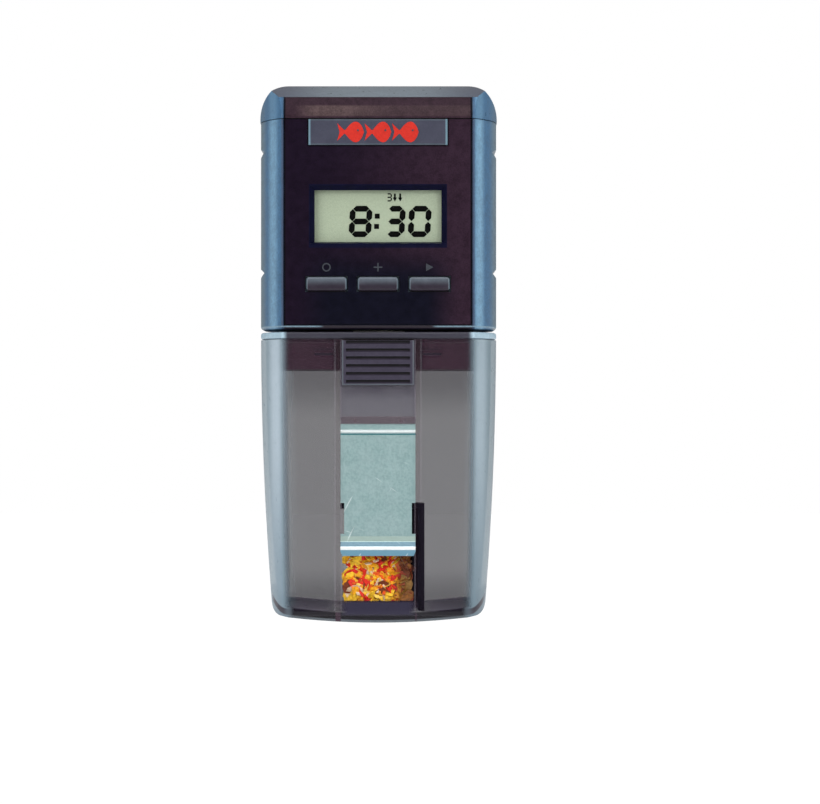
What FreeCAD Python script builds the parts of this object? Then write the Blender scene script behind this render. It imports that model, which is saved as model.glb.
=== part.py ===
"""Automatic fish food feeder: a battery timer head that turns a see-through food drum.

The row frame is +Z up, front towards -Y, with the origin at the centre of the flat rear face of the timer
housing. The timer head holds the display, three buttons, two cells, a motor and a gear train. The drum
carrier hangs under the head on the output shaft, the drum pulls down off the carrier to be filled, and a
dosing slider on the drum's front covers more or less of the outlet. All sizes are millimetres.
"""
import FreeCAD, Part

import math
import os
import re

import Sketcher
from fcgear import fcgear, involute
from FreeCAD import Placement, Rotation, Vector

doc = FreeCAD.newDocument("Feeder")

# ---------------------------------------------------------------------------------------------------------
# Driving dimensions
# ---------------------------------------------------------------------------------------------------------

SIZES = (
    # the cross-section that the head, the cap, the carrier and the drum share
    ("width", 71.9, "side to side at the widest"),
    ("depth", 58.0, "front face to rear face"),
    ("flat_width", 57.8, "flat part of the front and rear faces"),
    ("flank_depth", 20.0, "how far back the curved flanks reach"),
    ("edge_radius", 1.0, "rounding between flat face and flank"),
    # timer housing
    ("housing_height", 63.0, "housing between drum gap and cap seam"),
    ("housing_wall", 1.8, "housing wall"),
    ("floor_thick", 2.0, "housing floor"),
    ("rim_height", 1.1, "rim under the fascia"),
    ("bottom_rounding", 0.9, "outer edges at the drum gap"),
    ("groove_depth", 1.4, "bracket groove in the side"),
    ("groove_height", 2.8, "bracket groove mouth"),
    ("groove_start", 9.5, "bracket groove's front end behind the front face"),
    ("upper_groove_drop", 9.25, "upper groove below the cap seam"),
    ("lower_groove_rise", 17.2, "lower groove above the housing's lower end"),
    # cap
    ("seam_gap", 0.2, "seam between housing and cap"),
    ("cap_height", 10.9, "cap above its seam"),
    ("cap_overhang", 0.2, "cap past the housing on each side"),
    ("cap_corner", 10.6, "cap's rounded shoulders"),
    ("cap_wall", 1.8, "cap wall"),
    ("cap_front_height", 6.4, "cap's front face up to the crease"),
    ("cap_front_lean", 1.0, "cap's front face leans back at the crease"),
    ("cap_roll", 14.0, "from the crease back to the flat top"),
    ("cap_lip", 3.0, "lip that drops into the housing"),
    ("lip_wall", 1.2, "lip wall"),
    ("slip", 0.15, "gap between pieces that slide into each other"),
    # fascia and display
    ("fascia_width", 56.2, "dark front panel"),
    ("fascia_thick", 2.2, "dark front panel"),
    ("panel_gap", 0.25, "gap round inlaid panels"),
    ("ledge_width", 1.6, "ledge behind each side of the fascia"),
    ("lcd_lift", 20.4, "display centre above the button centres"),
    ("lcd_width", 38.1, "visible display"),
    ("lcd_height", 15.6, "visible display"),
    ("bezel", 1.45, "slanted frame at the top and sides"),
    ("bezel_low", 0.5, "slanted frame at the bottom"),
    ("lens_thick", 0.8, "clear display window"),
    ("glass_thick", 1.8, "liquid crystal glass"),
    ("glass_margin", 2.0, "lens and glass past the opening"),
    ("badge_width", 41.7, "badge plate"),
    ("badge_height", 7.7, "badge plate"),
    ("badge_drop", 0.12, "badge below the seam"),
    ("badge_gap", 0.4, "dark gap beside and below the badge"),
    ("badge_recess", 0.6, "badge plate sunk into the fascia"),
    ("badge_thick", 0.9, "badge plate"),
    # buttons
    ("button_rise", 13.5, "button centres above the housing's lower end"),
    ("button_pitch", 15.45, "between buttons"),
    ("button_width", 12.1, "button face"),
    ("button_height", 4.1, "button face"),
    ("button_proud", 0.7, "button face in front of the fascia"),
    ("button_travel", 0.6, "press"),
    ("button_gap", 0.35, "gap round each button"),
    ("button_round", 0.6, "button face edge"),
    ("button_corner", 0.9, "button outline's corners"),
    ("legend_rise", 0.15, "moulded symbols above the buttons"),
    ("legend_lift", 5.0, "symbols above the button centres"),
    ("legend_reach", 1.3, "symbols' half size"),
    ("legend_stroke", 0.4, "symbols' line"),
    ("flange_width", 0.8, "button flange behind the fascia"),
    ("flange_thick", 0.8, "button flange"),
    ("stem_radius", 1.4, "button stem"),
    # electronics
    ("board_back", 9.0, "back of the circuit board behind the front face"),
    ("board_thick", 1.6, "circuit board"),
    ("board_width", 53.0, "circuit board"),
    ("board_top_room", 3.5, "circuit board's top edge below the seam"),
    ("board_low_room", 7.5, "circuit board's lower edge above the housing's lower end"),
    ("board_screw_side", 24.6, "board screws from the middle"),
    ("board_screw_top", 3.5, "upper screws below the board's top edge"),
    ("board_screw_low", 10.5, "lower screws above the board's lower edge"),
    ("screw_head", 1.9, "board and gear plate screw heads' radius"),
    ("screw_head_height", 1.2, "board and gear plate screw heads"),
    ("screw_shank", 0.8, "board and gear plate screw threads' radius"),
    ("screw_slot", 0.55, "driver slots"),
    ("boss_radius", 1.9, "screw bosses behind the fascia"),
    ("screw_hole", 1.1, "clear holes for the screws"),
    ("switch_side", 6.0, "button switch cases"),
    ("switch_height", 2.2, "button switches with their plungers"),
    ("plunger_height", 0.7, "switch plungers"),
    ("plunger_radius", 1.6, "switch plungers"),
    # cells
    ("cell_radius", 7.2, "AA cell"),
    ("cell_head_room", 2.1, "cell tops below the seam, which leaves 50.5 for an AA cell"),
    ("nub_radius", 2.75, "cell's positive nub"),
    ("nub_height", 1.0, "cell's positive nub"),
    ("contact_half", 4.5, "half the width of the flat contacts"),
    ("wire_radius", 0.35, "contact coil's wire"),
    ("coil_radius", 3.6, "contact coil"),
    ("coil_turns", 3.5, "contact coil"),
    ("cell_spread", 7.7, "cell centres from the middle"),
    ("cell_back", 11.4, "cell centres in front of the rear face"),
    ("cell_bottom", 10.4, "cells start above the housing's lower end"),
    ("tray_wall", 1.4, "battery tray wall"),
    ("tray_gap", 0.4, "play round the cells"),
    ("tray_floor", 1.5, "battery tray floor"),
    ("spring_room", 2.6, "contact height under the cells"),
    # gear train
    ("gear_angle", 25.0, "pressure angle"),
    ("thin_teeth", 0.08, "teeth thinned by this much of the module"),
    ("fine_module", 0.5, "first two stages"),
    ("coarse_module", 0.6, "output stage"),
    ("pinion_teeth", 12.0, "every pinion"),
    ("wheel_teeth", 32.0, "both compound wheels"),
    ("output_teeth", 40.0, "output gear"),
    ("gear_thick", 2.5, "fine gears"),
    ("output_thick", 3.0, "output gear"),
    ("gear_start", 0.5, "output gear above the floor"),
    ("gear_step", 0.7, "space between gear levels"),
    ("stage_two_bearing", 210.0, "from the output shaft to the stage two axle, degrees"),
    ("stage_one_bearing", 195.0, "from stage two to stage one, degrees"),
    ("motor_bearing", 50.0, "from stage one to the motor, degrees"),
    ("axle_radius", 0.75, "gear axles"),
    ("axle_play", 0.06, "gear bores round their axles"),
    ("axle_seat", 1.0, "axles sunk into the floor"),
    ("post_radius", 2.2, "gear plate posts"),
    ("pilot_depth", 6.0, "screw pilots in the posts"),
    ("gear_plate_left", 30.6, "gear plate's left edge from the middle"),
    ("gear_plate_right", 21.5, "gear plate's right edge from the middle"),
    ("gear_plate_front", 11.5, "gear plate's front edge behind the front face"),
    ("gear_plate_back", 8.0, "gear plate's rear edge behind the spin axis"),
    ("plate_thick", 2.0, "gear plate"),
    ("plate_gap", 1.2, "gear plate above the top gears"),
    ("motor_length", 25.0, "motor can and end cap"),
    ("motor_wide", 20.0, "motor across its round sides"),
    ("motor_flat", 15.0, "motor across its flats"),
    ("motor_cap_length", 4.0, "motor end cap"),
    ("motor_shaft", 1.0, "motor shaft's radius"),
    ("motor_hub", 3.2, "motor's nose hole in the gear plate"),
    # output shaft and drum carrier
    ("spin_gap", 0.9, "gap between head and carrier"),
    ("shaft_radius", 4.0, "output shaft in the floor bore"),
    ("shaft_play", 0.06, "floor bore round the shaft"),
    ("spindle_radius", 3.0, "shaft inside the output gear"),
    ("clip_groove", 0.5, "retaining groove in the spindle"),
    ("clip_radius", 4.4, "retaining clip"),
    ("clip_thick", 0.34, "retaining clip"),
    ("clip_mouth", 3.0, "retaining clip's opening"),
    ("carrier_thick", 2.0, "carrier plate"),
    ("carrier_rounding", 0.6, "carrier's outer edges"),
    ("skirt_depth", 9.2, "carrier skirt inside the drum's mouth"),
    ("skirt_wall", 1.3, "carrier skirt"),
    ("skirt_play", 0.25, "skirt inside the drum"),
    ("rib_length", 5.6, "stiffening ribs on the skirt"),
    ("rib_depth", 1.6, "stiffening ribs on the skirt"),
    ("rib_height", 0.7, "stiffening ribs on the skirt"),
    ("upper_rib_drop", 3.0, "upper ribs below the carrier plate"),
    ("lower_rib_drop", 4.3, "lower ribs below the carrier plate"),
    ("washer_radius", 8.0, "nylon washer in the drum gap"),
    ("washer_thick", 0.8, "nylon washer in the drum gap"),
    # drum
    ("drum_gap", 0.2, "gap between carrier plate and drum"),
    ("drum_height", 85.1, "drum"),
    ("drum_wall", 1.6, "drum wall"),
    ("drum_floor", 3.4, "drum floor at the middle"),
    ("taper_middle", 1.0, "drum narrows on each side by mid height"),
    ("taper_end", 3.7, "drum narrows on each side by its lower end"),
    ("drum_sag", 1.8, "how much the lower end bulges down"),
    ("drum_corner", 3.3, "lower corners seen from the front"),
    ("drum_front_corner", 2.2, "lower corners seen from the side"),
    # channel, slider and outlet
    ("channel_width", 22.9, "slide channel"),
    ("channel_depth", 2.0, "slide channel"),
    ("lip_cover", 0.6, "channel lips over the slider's edges"),
    ("lip_thick", 0.8, "channel lips"),
    ("lip_length", 24.9, "channel lips down from the rim"),
    ("rail_width", 1.6, "channel side wall"),
    ("outlet_width", 20.7, "outlet"),
    ("outlet_height", 30.0, "outlet"),
    ("outlet_drop", 48.5, "outlet's top below the rim"),
    ("slide_play", 0.1, "slider in its channel"),
    ("slide_travel", 13.4, "slider from open to closed"),
    ("strip_thick", 1.0, "slider strip"),
    ("grip_drop", 0.3, "thumb grip below the rim"),
    ("grip_height", 13.4, "thumb grip"),
    ("grip_proud", 1.0, "thumb grip in front of the drum"),
    ("grip_ribs", 6.0, "grooves across the thumb grip"),
    ("groove_pitch", 2.35, "grooves across the thumb grip"),
    ("groove_width", 1.0, "grooves across the thumb grip"),
    ("first_groove", 0.55, "lowest groove above the grip's lower end"),
    ("grip_frame", 1.1, "plain ends of the thumb grip"),
    ("grip_cut", 0.9, "depth of the thumb grip's grooves"),
    ("grip_round", 0.35, "thumb grip's front edges"),
    ("pin_side", 6.9, "staking pins from the middle"),
    ("pin_radius", 0.55, "staking pins"),
    ("plate_drop", 25.4, "shutter plate's top below the rim"),
    ("shutter_height", 39.6, "shutter plate"),
    ("sheet_thick", 0.4, "shutter plate's steel"),
    ("bead_height", 0.35, "bead across the shutter plate"),
    ("bead_drop", 1.8, "bead below the shutter's top"),
    ("tab_height", 2.0, "shutter plate's tab behind the strip"),
    ("notch_depth", 1.1, "shutter plate's side notches"),
    ("notch_height", 9.3, "shutter plate's side notches"),
    ("notch_drop", 23.7, "notches below the shutter's top"),
    ("lip_bend", 1.9, "shutter's finger roll stands out by this much"),
    ("scoop_wall", 1.5, "dosing scoop"),
    ("scoop_bar", 2.0, "dosing scoop's wall beside the outlet"),
    ("scoop_height", 32.2, "dosing scoop"),
    ("scoop_depth", 15.0, "dosing scoop behind the channel"),
    ("scoop_bend", 7.0, "dosing scoop's rounded rear corner"),
)

sheet = doc.addObject("Spreadsheet::Sheet", "Sizes")
for row, (alias, number, note) in enumerate(SIZES, 1):
    sheet.set(f"A{row}", note)
    sheet.set(f"B{row}", str(number))
    sheet.setAlias(f"B{row}", alias)
doc.recompute()
ALIASES = {alias for alias, number, note in SIZES}


def bound(text):
    """An expression over the sheet's names, as FreeCAD writes it."""
    return re.sub(r"[a-z_][a-z_0-9]*", lambda w: "Sizes." + w[0] if w[0] in ALIASES else w[0], str(text))


def value(text):
    """The present value of an expression over the sheet's names."""
    return float(sheet.evalExpression(bound(text)))


# ---------------------------------------------------------------------------------------------------------
# Heights and places that several pieces share
# ---------------------------------------------------------------------------------------------------------

SEAM = "(housing_height / 2)"
BASE = "(-housing_height / 2)"
FLOOR = "(floor_thick - housing_height / 2)"
CAP_BASE = "(housing_height / 2 + seam_gap)"
CAP_TOP = "(housing_height / 2 + seam_gap + cap_height)"
FRONT = "(-depth)"
AXIS_Y = "(-depth / 2)"
CARRIER_TOP = f"({BASE} - spin_gap)"
CARRIER_BASE = f"({BASE} - spin_gap - carrier_thick)"
RIM = f"({BASE} - spin_gap - carrier_thick - drum_gap)"
DRUM_END = f"({RIM} - drum_height)"
CHANNEL_FLOOR = f"({FRONT} + channel_depth)"
BUTTON_Z = f"({BASE} + button_rise)"
LCD_Z = f"({BUTTON_Z} + lcd_lift)"
FASCIA_BACK = f"({FRONT} + fascia_thick)"
BOARD_BACK = f"({FRONT} + board_back)"
BOARD_FRONT = f"({FRONT} + board_back - board_thick)"
BOARD_TOP = f"({SEAM} - board_top_room)"
BOARD_LOW = f"({BASE} + board_low_room)"
LENS_BACK = f"({FASCIA_BACK} + 0.1 + lens_thick)"
GLASS_BACK = f"({LENS_BACK} + 0.1 + glass_thick)"
LEVEL_A = f"({FLOOR} + gear_start)"
LEVEL_B = f"({LEVEL_A} + output_thick + gear_step)"
LEVEL_C = f"({LEVEL_B} + gear_thick + gear_step)"
PLATE_Z = f"({LEVEL_C} + gear_thick + plate_gap)"
MOTOR_BASE = f"({PLATE_Z} + plate_thick)"
CELL_BASE = f"({BASE} + cell_bottom)"
CELL_TOP = f"({SEAM} - cell_head_room)"
TRAY_BASE = f"({CELL_BASE} - spring_room - tray_floor)"
WINDOW_TOP = f"({RIM} - outlet_drop)"
WINDOW_BASE = f"({WINDOW_TOP} - outlet_height)"

# ---------------------------------------------------------------------------------------------------------
# Sketch and feature helpers
# ---------------------------------------------------------------------------------------------------------

PLANES = {"XY": "XY_Plane", "XZ": "XZ_Plane", "YZ": "YZ_Plane"}
finished = []


def new_body(label):
    """An empty PartDesign body for one sub-part."""
    body = doc.addObject("PartDesign::Body", label)
    body.Label = label
    finished.append(body)
    return body


def new_sketch(body, plane, offset=0, across=0, up=0):
    """A sketch on one of the body's own planes. offset runs along the plane's normal: +Z, -Y or +X."""
    sketch = body.newObject("Sketcher::SketchObject", "Sketch")
    base = next(f for f in body.Origin.OriginFeatures if f.Role == PLANES[plane])
    sketch.AttachmentSupport = (base, [""])
    sketch.MapMode = "FlatFace"
    for axis, text in zip("xyz", (across, up, offset)):
        sketch.setExpression(f"AttachmentOffset.Base.{axis}", bound(text))
    doc.recompute()
    return sketch


def drive(sketch, kind, *where, text):
    """Adds a dimension and binds it to its expression."""
    index = sketch.addConstraint(Sketcher.Constraint(kind, *where, value(text)))
    sketch.setExpression(f"Constraints[{index}]", bound(text))


def add_outline(sketch, points):
    """Adds a closed outline. A point is (x, y), or (x, y, radius) where the edge that arrives at it is an
    arc. A positive radius turns anticlockwise like the outline, and a negative one turns against it."""
    corners = [Vector(value(p[0]), value(p[1]), 0) for p in points]
    edges = []
    for i, point in enumerate(points):
        start = corners[i - 1]
        end = corners[i]
        if len(point) == 2:
            geometry = sketch.addGeometry(Part.LineSegment(start, end), False)
            edges.append((geometry, 1, 2))
            continue
        radius = value(point[2])
        chord = end - start
        side = Vector(-chord.y, chord.x, 0).normalize() * math.copysign(1, radius)
        reach = math.sqrt(max(radius * radius - chord.Length ** 2 / 4, 0))
        centre = (start + end) * 0.5 + side * reach
        first, last = (start, end) if radius > 0 else (end, start)
        angles = [math.atan2(p.y - centre.y, p.x - centre.x) for p in (first, last)]
        circle = Part.Circle(centre, Vector(0, 0, 1), abs(radius))
        geometry = sketch.addGeometry(Part.ArcOfCircle(circle, *angles), False)
        edges.append((geometry, 1, 2) if radius > 0 else (geometry, 2, 1))
    for i, (geometry, start, end) in enumerate(edges):
        following = edges[(i + 1) % len(edges)]
        sketch.addConstraint(Sketcher.Constraint("Coincident", geometry, end, following[0], following[1]))
        drive(sketch, "DistanceX", -1, 1, geometry, end, text=points[i][0])
        drive(sketch, "DistanceY", -1, 1, geometry, end, text=points[i][1])
        if len(points[i]) == 3:
            drive(sketch, "Radius", geometry, text=f"abs({points[i][2]})")


def add_box(sketch, left, right, low, high):
    """Adds a rectangle."""
    add_outline(sketch, [(left, low), (right, low), (right, high), (left, high)])


def add_circle(sketch, x, y, radius):
    """Adds a circle."""
    circle = Part.Circle(Vector(value(x), value(y), 0), Vector(0, 0, 1), value(radius))
    geometry = sketch.addGeometry(circle, False)
    drive(sketch, "DistanceX", -1, 1, geometry, 3, text=x)
    drive(sketch, "DistanceY", -1, 1, geometry, 3, text=y)
    drive(sketch, "Radius", geometry, text=radius)


def feature(body, kind, sketch, length, reverse=False, both_ways=False):
    """A pad or pocket of the sketch. It must change the body's volume, or it points the wrong way."""
    before = body.Shape.Volume if body.Tip else 0.0
    made = body.newObject(f"PartDesign::{kind}", kind)
    made.Profile = sketch
    made.setExpression("Length", bound(length))
    made.Reversed = reverse
    if both_ways:
        made.SideType = "Symmetric"
    doc.recompute()
    if abs(body.Shape.Volume - before) < 1e-4:
        raise RuntimeError(f"{body.Label}: {made.Name} changes nothing")
    return made


def pad(body, sketch, length, reverse=False, both_ways=False):
    """Adds material along the sketch's normal."""
    return feature(body, "Pad", sketch, length, reverse, both_ways)


def pocket(body, sketch, length, reverse=False, both_ways=False):
    """Removes material against the sketch's normal, or along it when reversed."""
    return feature(body, "Pocket", sketch, length, reverse, both_ways)


def soften(body, kind, size, test):
    """Fillets or chamfers the edges of the body's present shape that pass the test."""
    tip = body.Tip
    names = [f"Edge{i}" for i, edge in enumerate(tip.Shape.Edges, 1) if test(edge)]
    if not names:
        raise RuntimeError(f"{body.Label}: no edges to soften")
    made = body.newObject(f"PartDesign::{kind}", kind)
    made.Base = (tip, names)
    made.setExpression("Radius" if kind == "Fillet" else "Size", bound(size))
    doc.recompute()
    if not made.isValid():
        raise RuntimeError(f"{body.Label}: {kind} failed")
    return made


def flat_at(axis, text):
    """A test for edges that lie in the plane where that coordinate has this value."""
    low, high = axis.upper() + "Min", axis.upper() + "Max"
    place = value(text)

    def test(edge):
        box = edge.BoundBox
        return abs(getattr(box, low) - place) < 1e-3 and abs(getattr(box, high) - place) < 1e-3

    return test


def block(body, left, right, front, back, low, high):
    """Pads an upright box given by its six faces in the row frame."""
    sketch = new_sketch(body, "XY", low)
    add_box(sketch, left, right, front, back)
    return pad(body, sketch, f"({high}) - ({low})")


def dig(body, left, right, front, back, low, high):
    """Removes a box given by its six faces in the row frame."""
    sketch = new_sketch(body, "XY", low)
    add_box(sketch, left, right, front, back)
    return pocket(body, sketch, f"({high}) - ({low})", reverse=True)


def loose_shape(label, shape):
    """A sub-part whose shape comes from Part's own functions."""
    piece = doc.addObject("Part::Feature", label)
    piece.Label = label
    piece.Shape = shape
    finished.append(piece)
    return piece


def rod(radius, low, high, x, y):
    """An upright round bar as a plain shape."""
    bottom = value(low)
    return Part.makeCylinder(value(radius), value(high) - bottom, Vector(value(x), value(y), bottom))


# ---------------------------------------------------------------------------------------------------------
# The shared barrel section: flat front and rear, flat sides, and four shallow curved flanks
# ---------------------------------------------------------------------------------------------------------


def barrel_points(inset=0, taper=0, edge="edge_radius"):
    """The section's outline about the spin axis, inset by a wall and narrowed by a taper on each side."""
    step = "((width - flat_width) / 2)"
    flank = f"((flank_depth ^ 2 + {step} ^ 2) / (2 * {step}))"
    middle = f"(width / 2 - ({taper}) - {flank})"
    radius = f"({flank} - ({inset}))"
    front = f"(depth / 2 - ({inset}))"
    lift = f"(flank_depth - ({inset}) - {edge})"
    inner = f"({radius} - {edge})"
    along = f"sqrt({inner} ^ 2 - {lift} ^ 2)"
    flat_x = f"({middle} + {along})"
    turn_x = f"({middle} + {along} * {radius} / {inner})"
    turn_y = f"(depth / 2 - flank_depth + {lift} * {radius} / {inner})"
    side_x = f"(width / 2 - ({taper}) - ({inset}))"
    side_y = "(depth / 2 - flank_depth)"
    return [
        (flat_x, f"-{front}"),
        (turn_x, f"-{turn_y}", edge),
        (side_x, f"-{side_y}", radius),
        (side_x, side_y),
        (turn_x, turn_y, radius),
        (flat_x, front, edge),
        (f"-{flat_x}", front),
        (f"-{turn_x}", turn_y, edge),
        (f"-{side_x}", side_y, radius),
        (f"-{side_x}", f"-{side_y}"),
        (f"-{turn_x}", f"-{turn_y}", radius),
        (f"-{flat_x}", f"-{front}", edge),
    ]


def barrel_sketch(body, height, inset=0, taper=0, edge="edge_radius"):
    """The barrel section at a height."""
    sketch = new_sketch(body, "XY", height, up=AXIS_Y)
    add_outline(sketch, barrel_points(inset, taper, edge))
    return sketch


# ---------------------------------------------------------------------------------------------------------
# Timer housing
# ---------------------------------------------------------------------------------------------------------


def polar(x, y, distance, bearing):
    """The point at a distance and bearing from another, as two expressions."""
    return f"({x} + {distance} * cos({bearing}))", f"({y} + {distance} * sin({bearing}))"


FINE_CENTRES = "(fine_module * (pinion_teeth + wheel_teeth) / 2)"
COARSE_CENTRES = "(coarse_module * (pinion_teeth + output_teeth) / 2)"
TWO_X, TWO_Y = polar("0", AXIS_Y, COARSE_CENTRES, "stage_two_bearing")
ONE_X, ONE_Y = polar(TWO_X, TWO_Y, FINE_CENTRES, "stage_one_bearing")
MOTOR_X, MOTOR_Y = polar(ONE_X, ONE_Y, FINE_CENTRES, "motor_bearing")
POSTS = (
    ("-27.5", f"({FRONT} + 33.5)"),
    ("15.5", f"({FRONT} + 15)"),
    ("17.5", f"({AXIS_Y} + 5)"),
)


def make_housing():
    body = new_body("housing_shell")
    pad(body, barrel_sketch(body, BASE), "housing_height")
    soften(body, "Fillet", "bottom_rounding", flat_at("z", BASE))
    cavity = barrel_sketch(body, FLOOR, inset="housing_wall", edge="0.5 * edge_radius")
    pocket(body, cavity, "housing_height", reverse=True)
    opening = "(fascia_width / 2 + panel_gap)"
    seat = f"({FASCIA_BACK} + 0.03)"
    dig(body, f"-{opening}", opening, f"{FRONT} - 1", seat, f"{BASE} + rim_height", f"{SEAM} + 1")
    ledge_top = f"({SEAM} - cap_lip - 1)"
    for side in "-+":
        inner = f"({side}({opening} - ledge_width))"
        outer = f"({side}({opening} + 1.2))"
        left, right = (outer, inner) if side == "-" else (inner, outer)
        block(body, left, right, seat, f"{FASCIA_BACK} + 1.5", f"{FLOOR} - 0.5", ledge_top)
    grooves = new_sketch(body, "XZ")
    for middle in (f"({SEAM} - upper_groove_drop)", f"({BASE} + lower_groove_rise)"):
        for side in "-+":
            mouth = f"({side}(width / 2 + 0.6))"
            bed = f"({side}(width / 2 - groove_depth))"
            spread = "(groove_height / 2 * (groove_depth + 0.6) / groove_depth)"
            points = [(bed, middle), (mouth, f"{middle} - {spread}"), (mouth, f"{middle} + {spread}")]
            add_outline(grooves, points if side == "+" else points[::-1])
    pocket(body, grooves, "depth - groove_start", reverse=True)
    bore = new_sketch(body, "XY", FLOOR)
    add_circle(bore, "0", AXIS_Y, "shaft_radius + shaft_play")
    pocket(body, bore, "floor_thick + 1")
    axles = new_sketch(body, "XY", FLOOR)
    for x, y in ((ONE_X, ONE_Y), (TWO_X, TWO_Y)):
        add_circle(axles, x, y, "axle_radius")
    pocket(body, axles, "axle_seat")
    posts = new_sketch(body, "XY", f"{FLOOR} - 0.5")
    for x, y in POSTS:
        add_circle(posts, x, y, "post_radius")
    pad(body, posts, f"{PLATE_Z} - {FLOOR} + 0.5")
    pilots = new_sketch(body, "XY", PLATE_Z)
    for x, y in POSTS:
        add_circle(pilots, x, y, "screw_shank + 0.1")
    pocket(body, pilots, "pilot_depth")
    tray_posts = new_sketch(body, "XY", f"{FLOOR} - 0.5")
    for x in ("-12", "12"):
        add_box(tray_posts, f"{x} - 1.5", f"{x} + 1.5", "-cell_back - 3", "-cell_back + 3")
    pad(body, tray_posts, f"{TRAY_BASE} - {FLOOR} + 0.5")


def make_fascia():
    body = new_body("front_fascia")
    low = f"({BASE} + rim_height + panel_gap)"
    high = f"({SEAM} - 0.05)"
    outline = new_sketch(body, "XZ", f"-{FASCIA_BACK}")
    add_box(outline, "-fascia_width / 2", "fascia_width / 2", low, high)
    pad(body, outline, "fascia_thick")
    window = new_sketch(body, "XZ", f"-{FRONT}")
    half = "(lcd_width / 2)"
    bottom = f"({LCD_Z} - lcd_height / 2)"
    top = f"({LCD_Z} + lcd_height / 2)"
    add_box(window, f"-{half}", half, bottom, top)
    pocket(body, window, "fascia_thick + 1")
    slanted = [new_sketch(body, "XZ", f"-{FRONT} + 0.01"), new_sketch(body, "XZ", f"-{FRONT} - bezel")]
    for sketch, wide, low in zip(slanted, ("bezel", "0"), ("bezel_low", "0")):
        add_box(sketch, f"-{half} - {wide}", f"{half} + {wide}", f"{bottom} - {low}", f"{top} + {wide}")
    frame = body.newObject("PartDesign::SubtractiveLoft", "SubtractiveLoft")
    frame.Profile = slanted[0]
    frame.Sections = slanted[1:]
    doc.recompute()
    badge = new_sketch(body, "XZ", f"-{FRONT}")
    reach = "(badge_width / 2 + badge_gap)"
    add_box(badge, f"-{reach}", reach, f"{SEAM} - badge_height - badge_gap - badge_drop", f"{SEAM} + 1")
    pocket(body, badge, "badge_recess")
    holes = new_sketch(body, "XZ", f"-{FRONT}")
    for place in (-1, 0, 1):
        middle = f"({place} * button_pitch)"
        half = "(button_width / 2 + button_gap)"
        rise = "(button_height / 2 + button_gap)"
        left, right = f"{middle} - {half}", f"{middle} + {half}"
        add_box(holes, left, right, f"{BUTTON_Z} - {rise}", f"{BUTTON_Z} + {rise}")
    pocket(body, holes, "fascia_thick + 1")
    bosses = new_sketch(body, "XZ", f"-{BOARD_FRONT} + 0.02")
    pilots = new_sketch(body, "XZ", f"-{BOARD_FRONT} + 0.02")
    for x, z in board_screw_places():
        add_circle(bosses, x, z, "boss_radius")
        add_circle(pilots, x, z, "screw_shank + 0.02")
    pad(body, bosses, f"{BOARD_FRONT} - {FASCIA_BACK} + 0.3")
    pocket(body, pilots, f"{BOARD_FRONT} - {FASCIA_BACK}", reverse=True)


def board_screw_places():
    """The board's four screws in the XZ plane."""
    rises = (f"{BOARD_LOW} + board_screw_low", f"{BOARD_TOP} - board_screw_top")
    return [(f"{side}board_screw_side", rise) for side in ("-", "") for rise in rises]


def make_badge():
    body = new_body("badge_plate")
    sketch = new_sketch(body, "XZ", f"-({FRONT} + badge_recess - 0.02)")
    low = f"({SEAM} - badge_height - badge_drop)"
    add_box(sketch, "-badge_width / 2", "badge_width / 2", low, f"{low} + badge_height")
    pad(body, sketch, "badge_thick")
    front = flat_at("y", f"{FRONT} + badge_recess - 0.02 - badge_thick")

    def short_edge(edge):
        return front(edge) and edge.BoundBox.ZLength > 1

    soften(body, "Chamfer", "0.28", short_edge)


def make_display():
    lens = new_body("display_lens")
    half = "(lcd_width / 2 + glass_margin)"
    low = f"({LCD_Z} - lcd_height / 2 - glass_margin)"
    high = f"({LCD_Z} + lcd_height / 2 + glass_margin)"
    block(lens, f"-{half}", half, f"{LENS_BACK} - lens_thick", LENS_BACK, low, high)
    glass = new_body("lcd_glass")
    block(glass, f"-{half}", half, f"{GLASS_BACK} - glass_thick", GLASS_BACK, low, high)
    strips = []
    for end, side in ((low, "+"), (high, "-")):
        first = value(f"{end} {side} 0.3")
        second = value(f"{end} {side} 1.7")
        front = value(GLASS_BACK)
        size = (value(f"2 * {half} - 2"), value(BOARD_FRONT) - front, abs(second - first))
        corner = Vector(-size[0] / 2, front, min(first, second))
        strips.append(Part.makeBox(*size, corner))
    loose_shape("lcd_connectors", Part.makeCompound(strips))


# ---------------------------------------------------------------------------------------------------------
# Buttons, circuit board and what is on it
# ---------------------------------------------------------------------------------------------------------

STEM_END = f"({BOARD_FRONT} - switch_height - button_travel - 0.08)"


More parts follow.
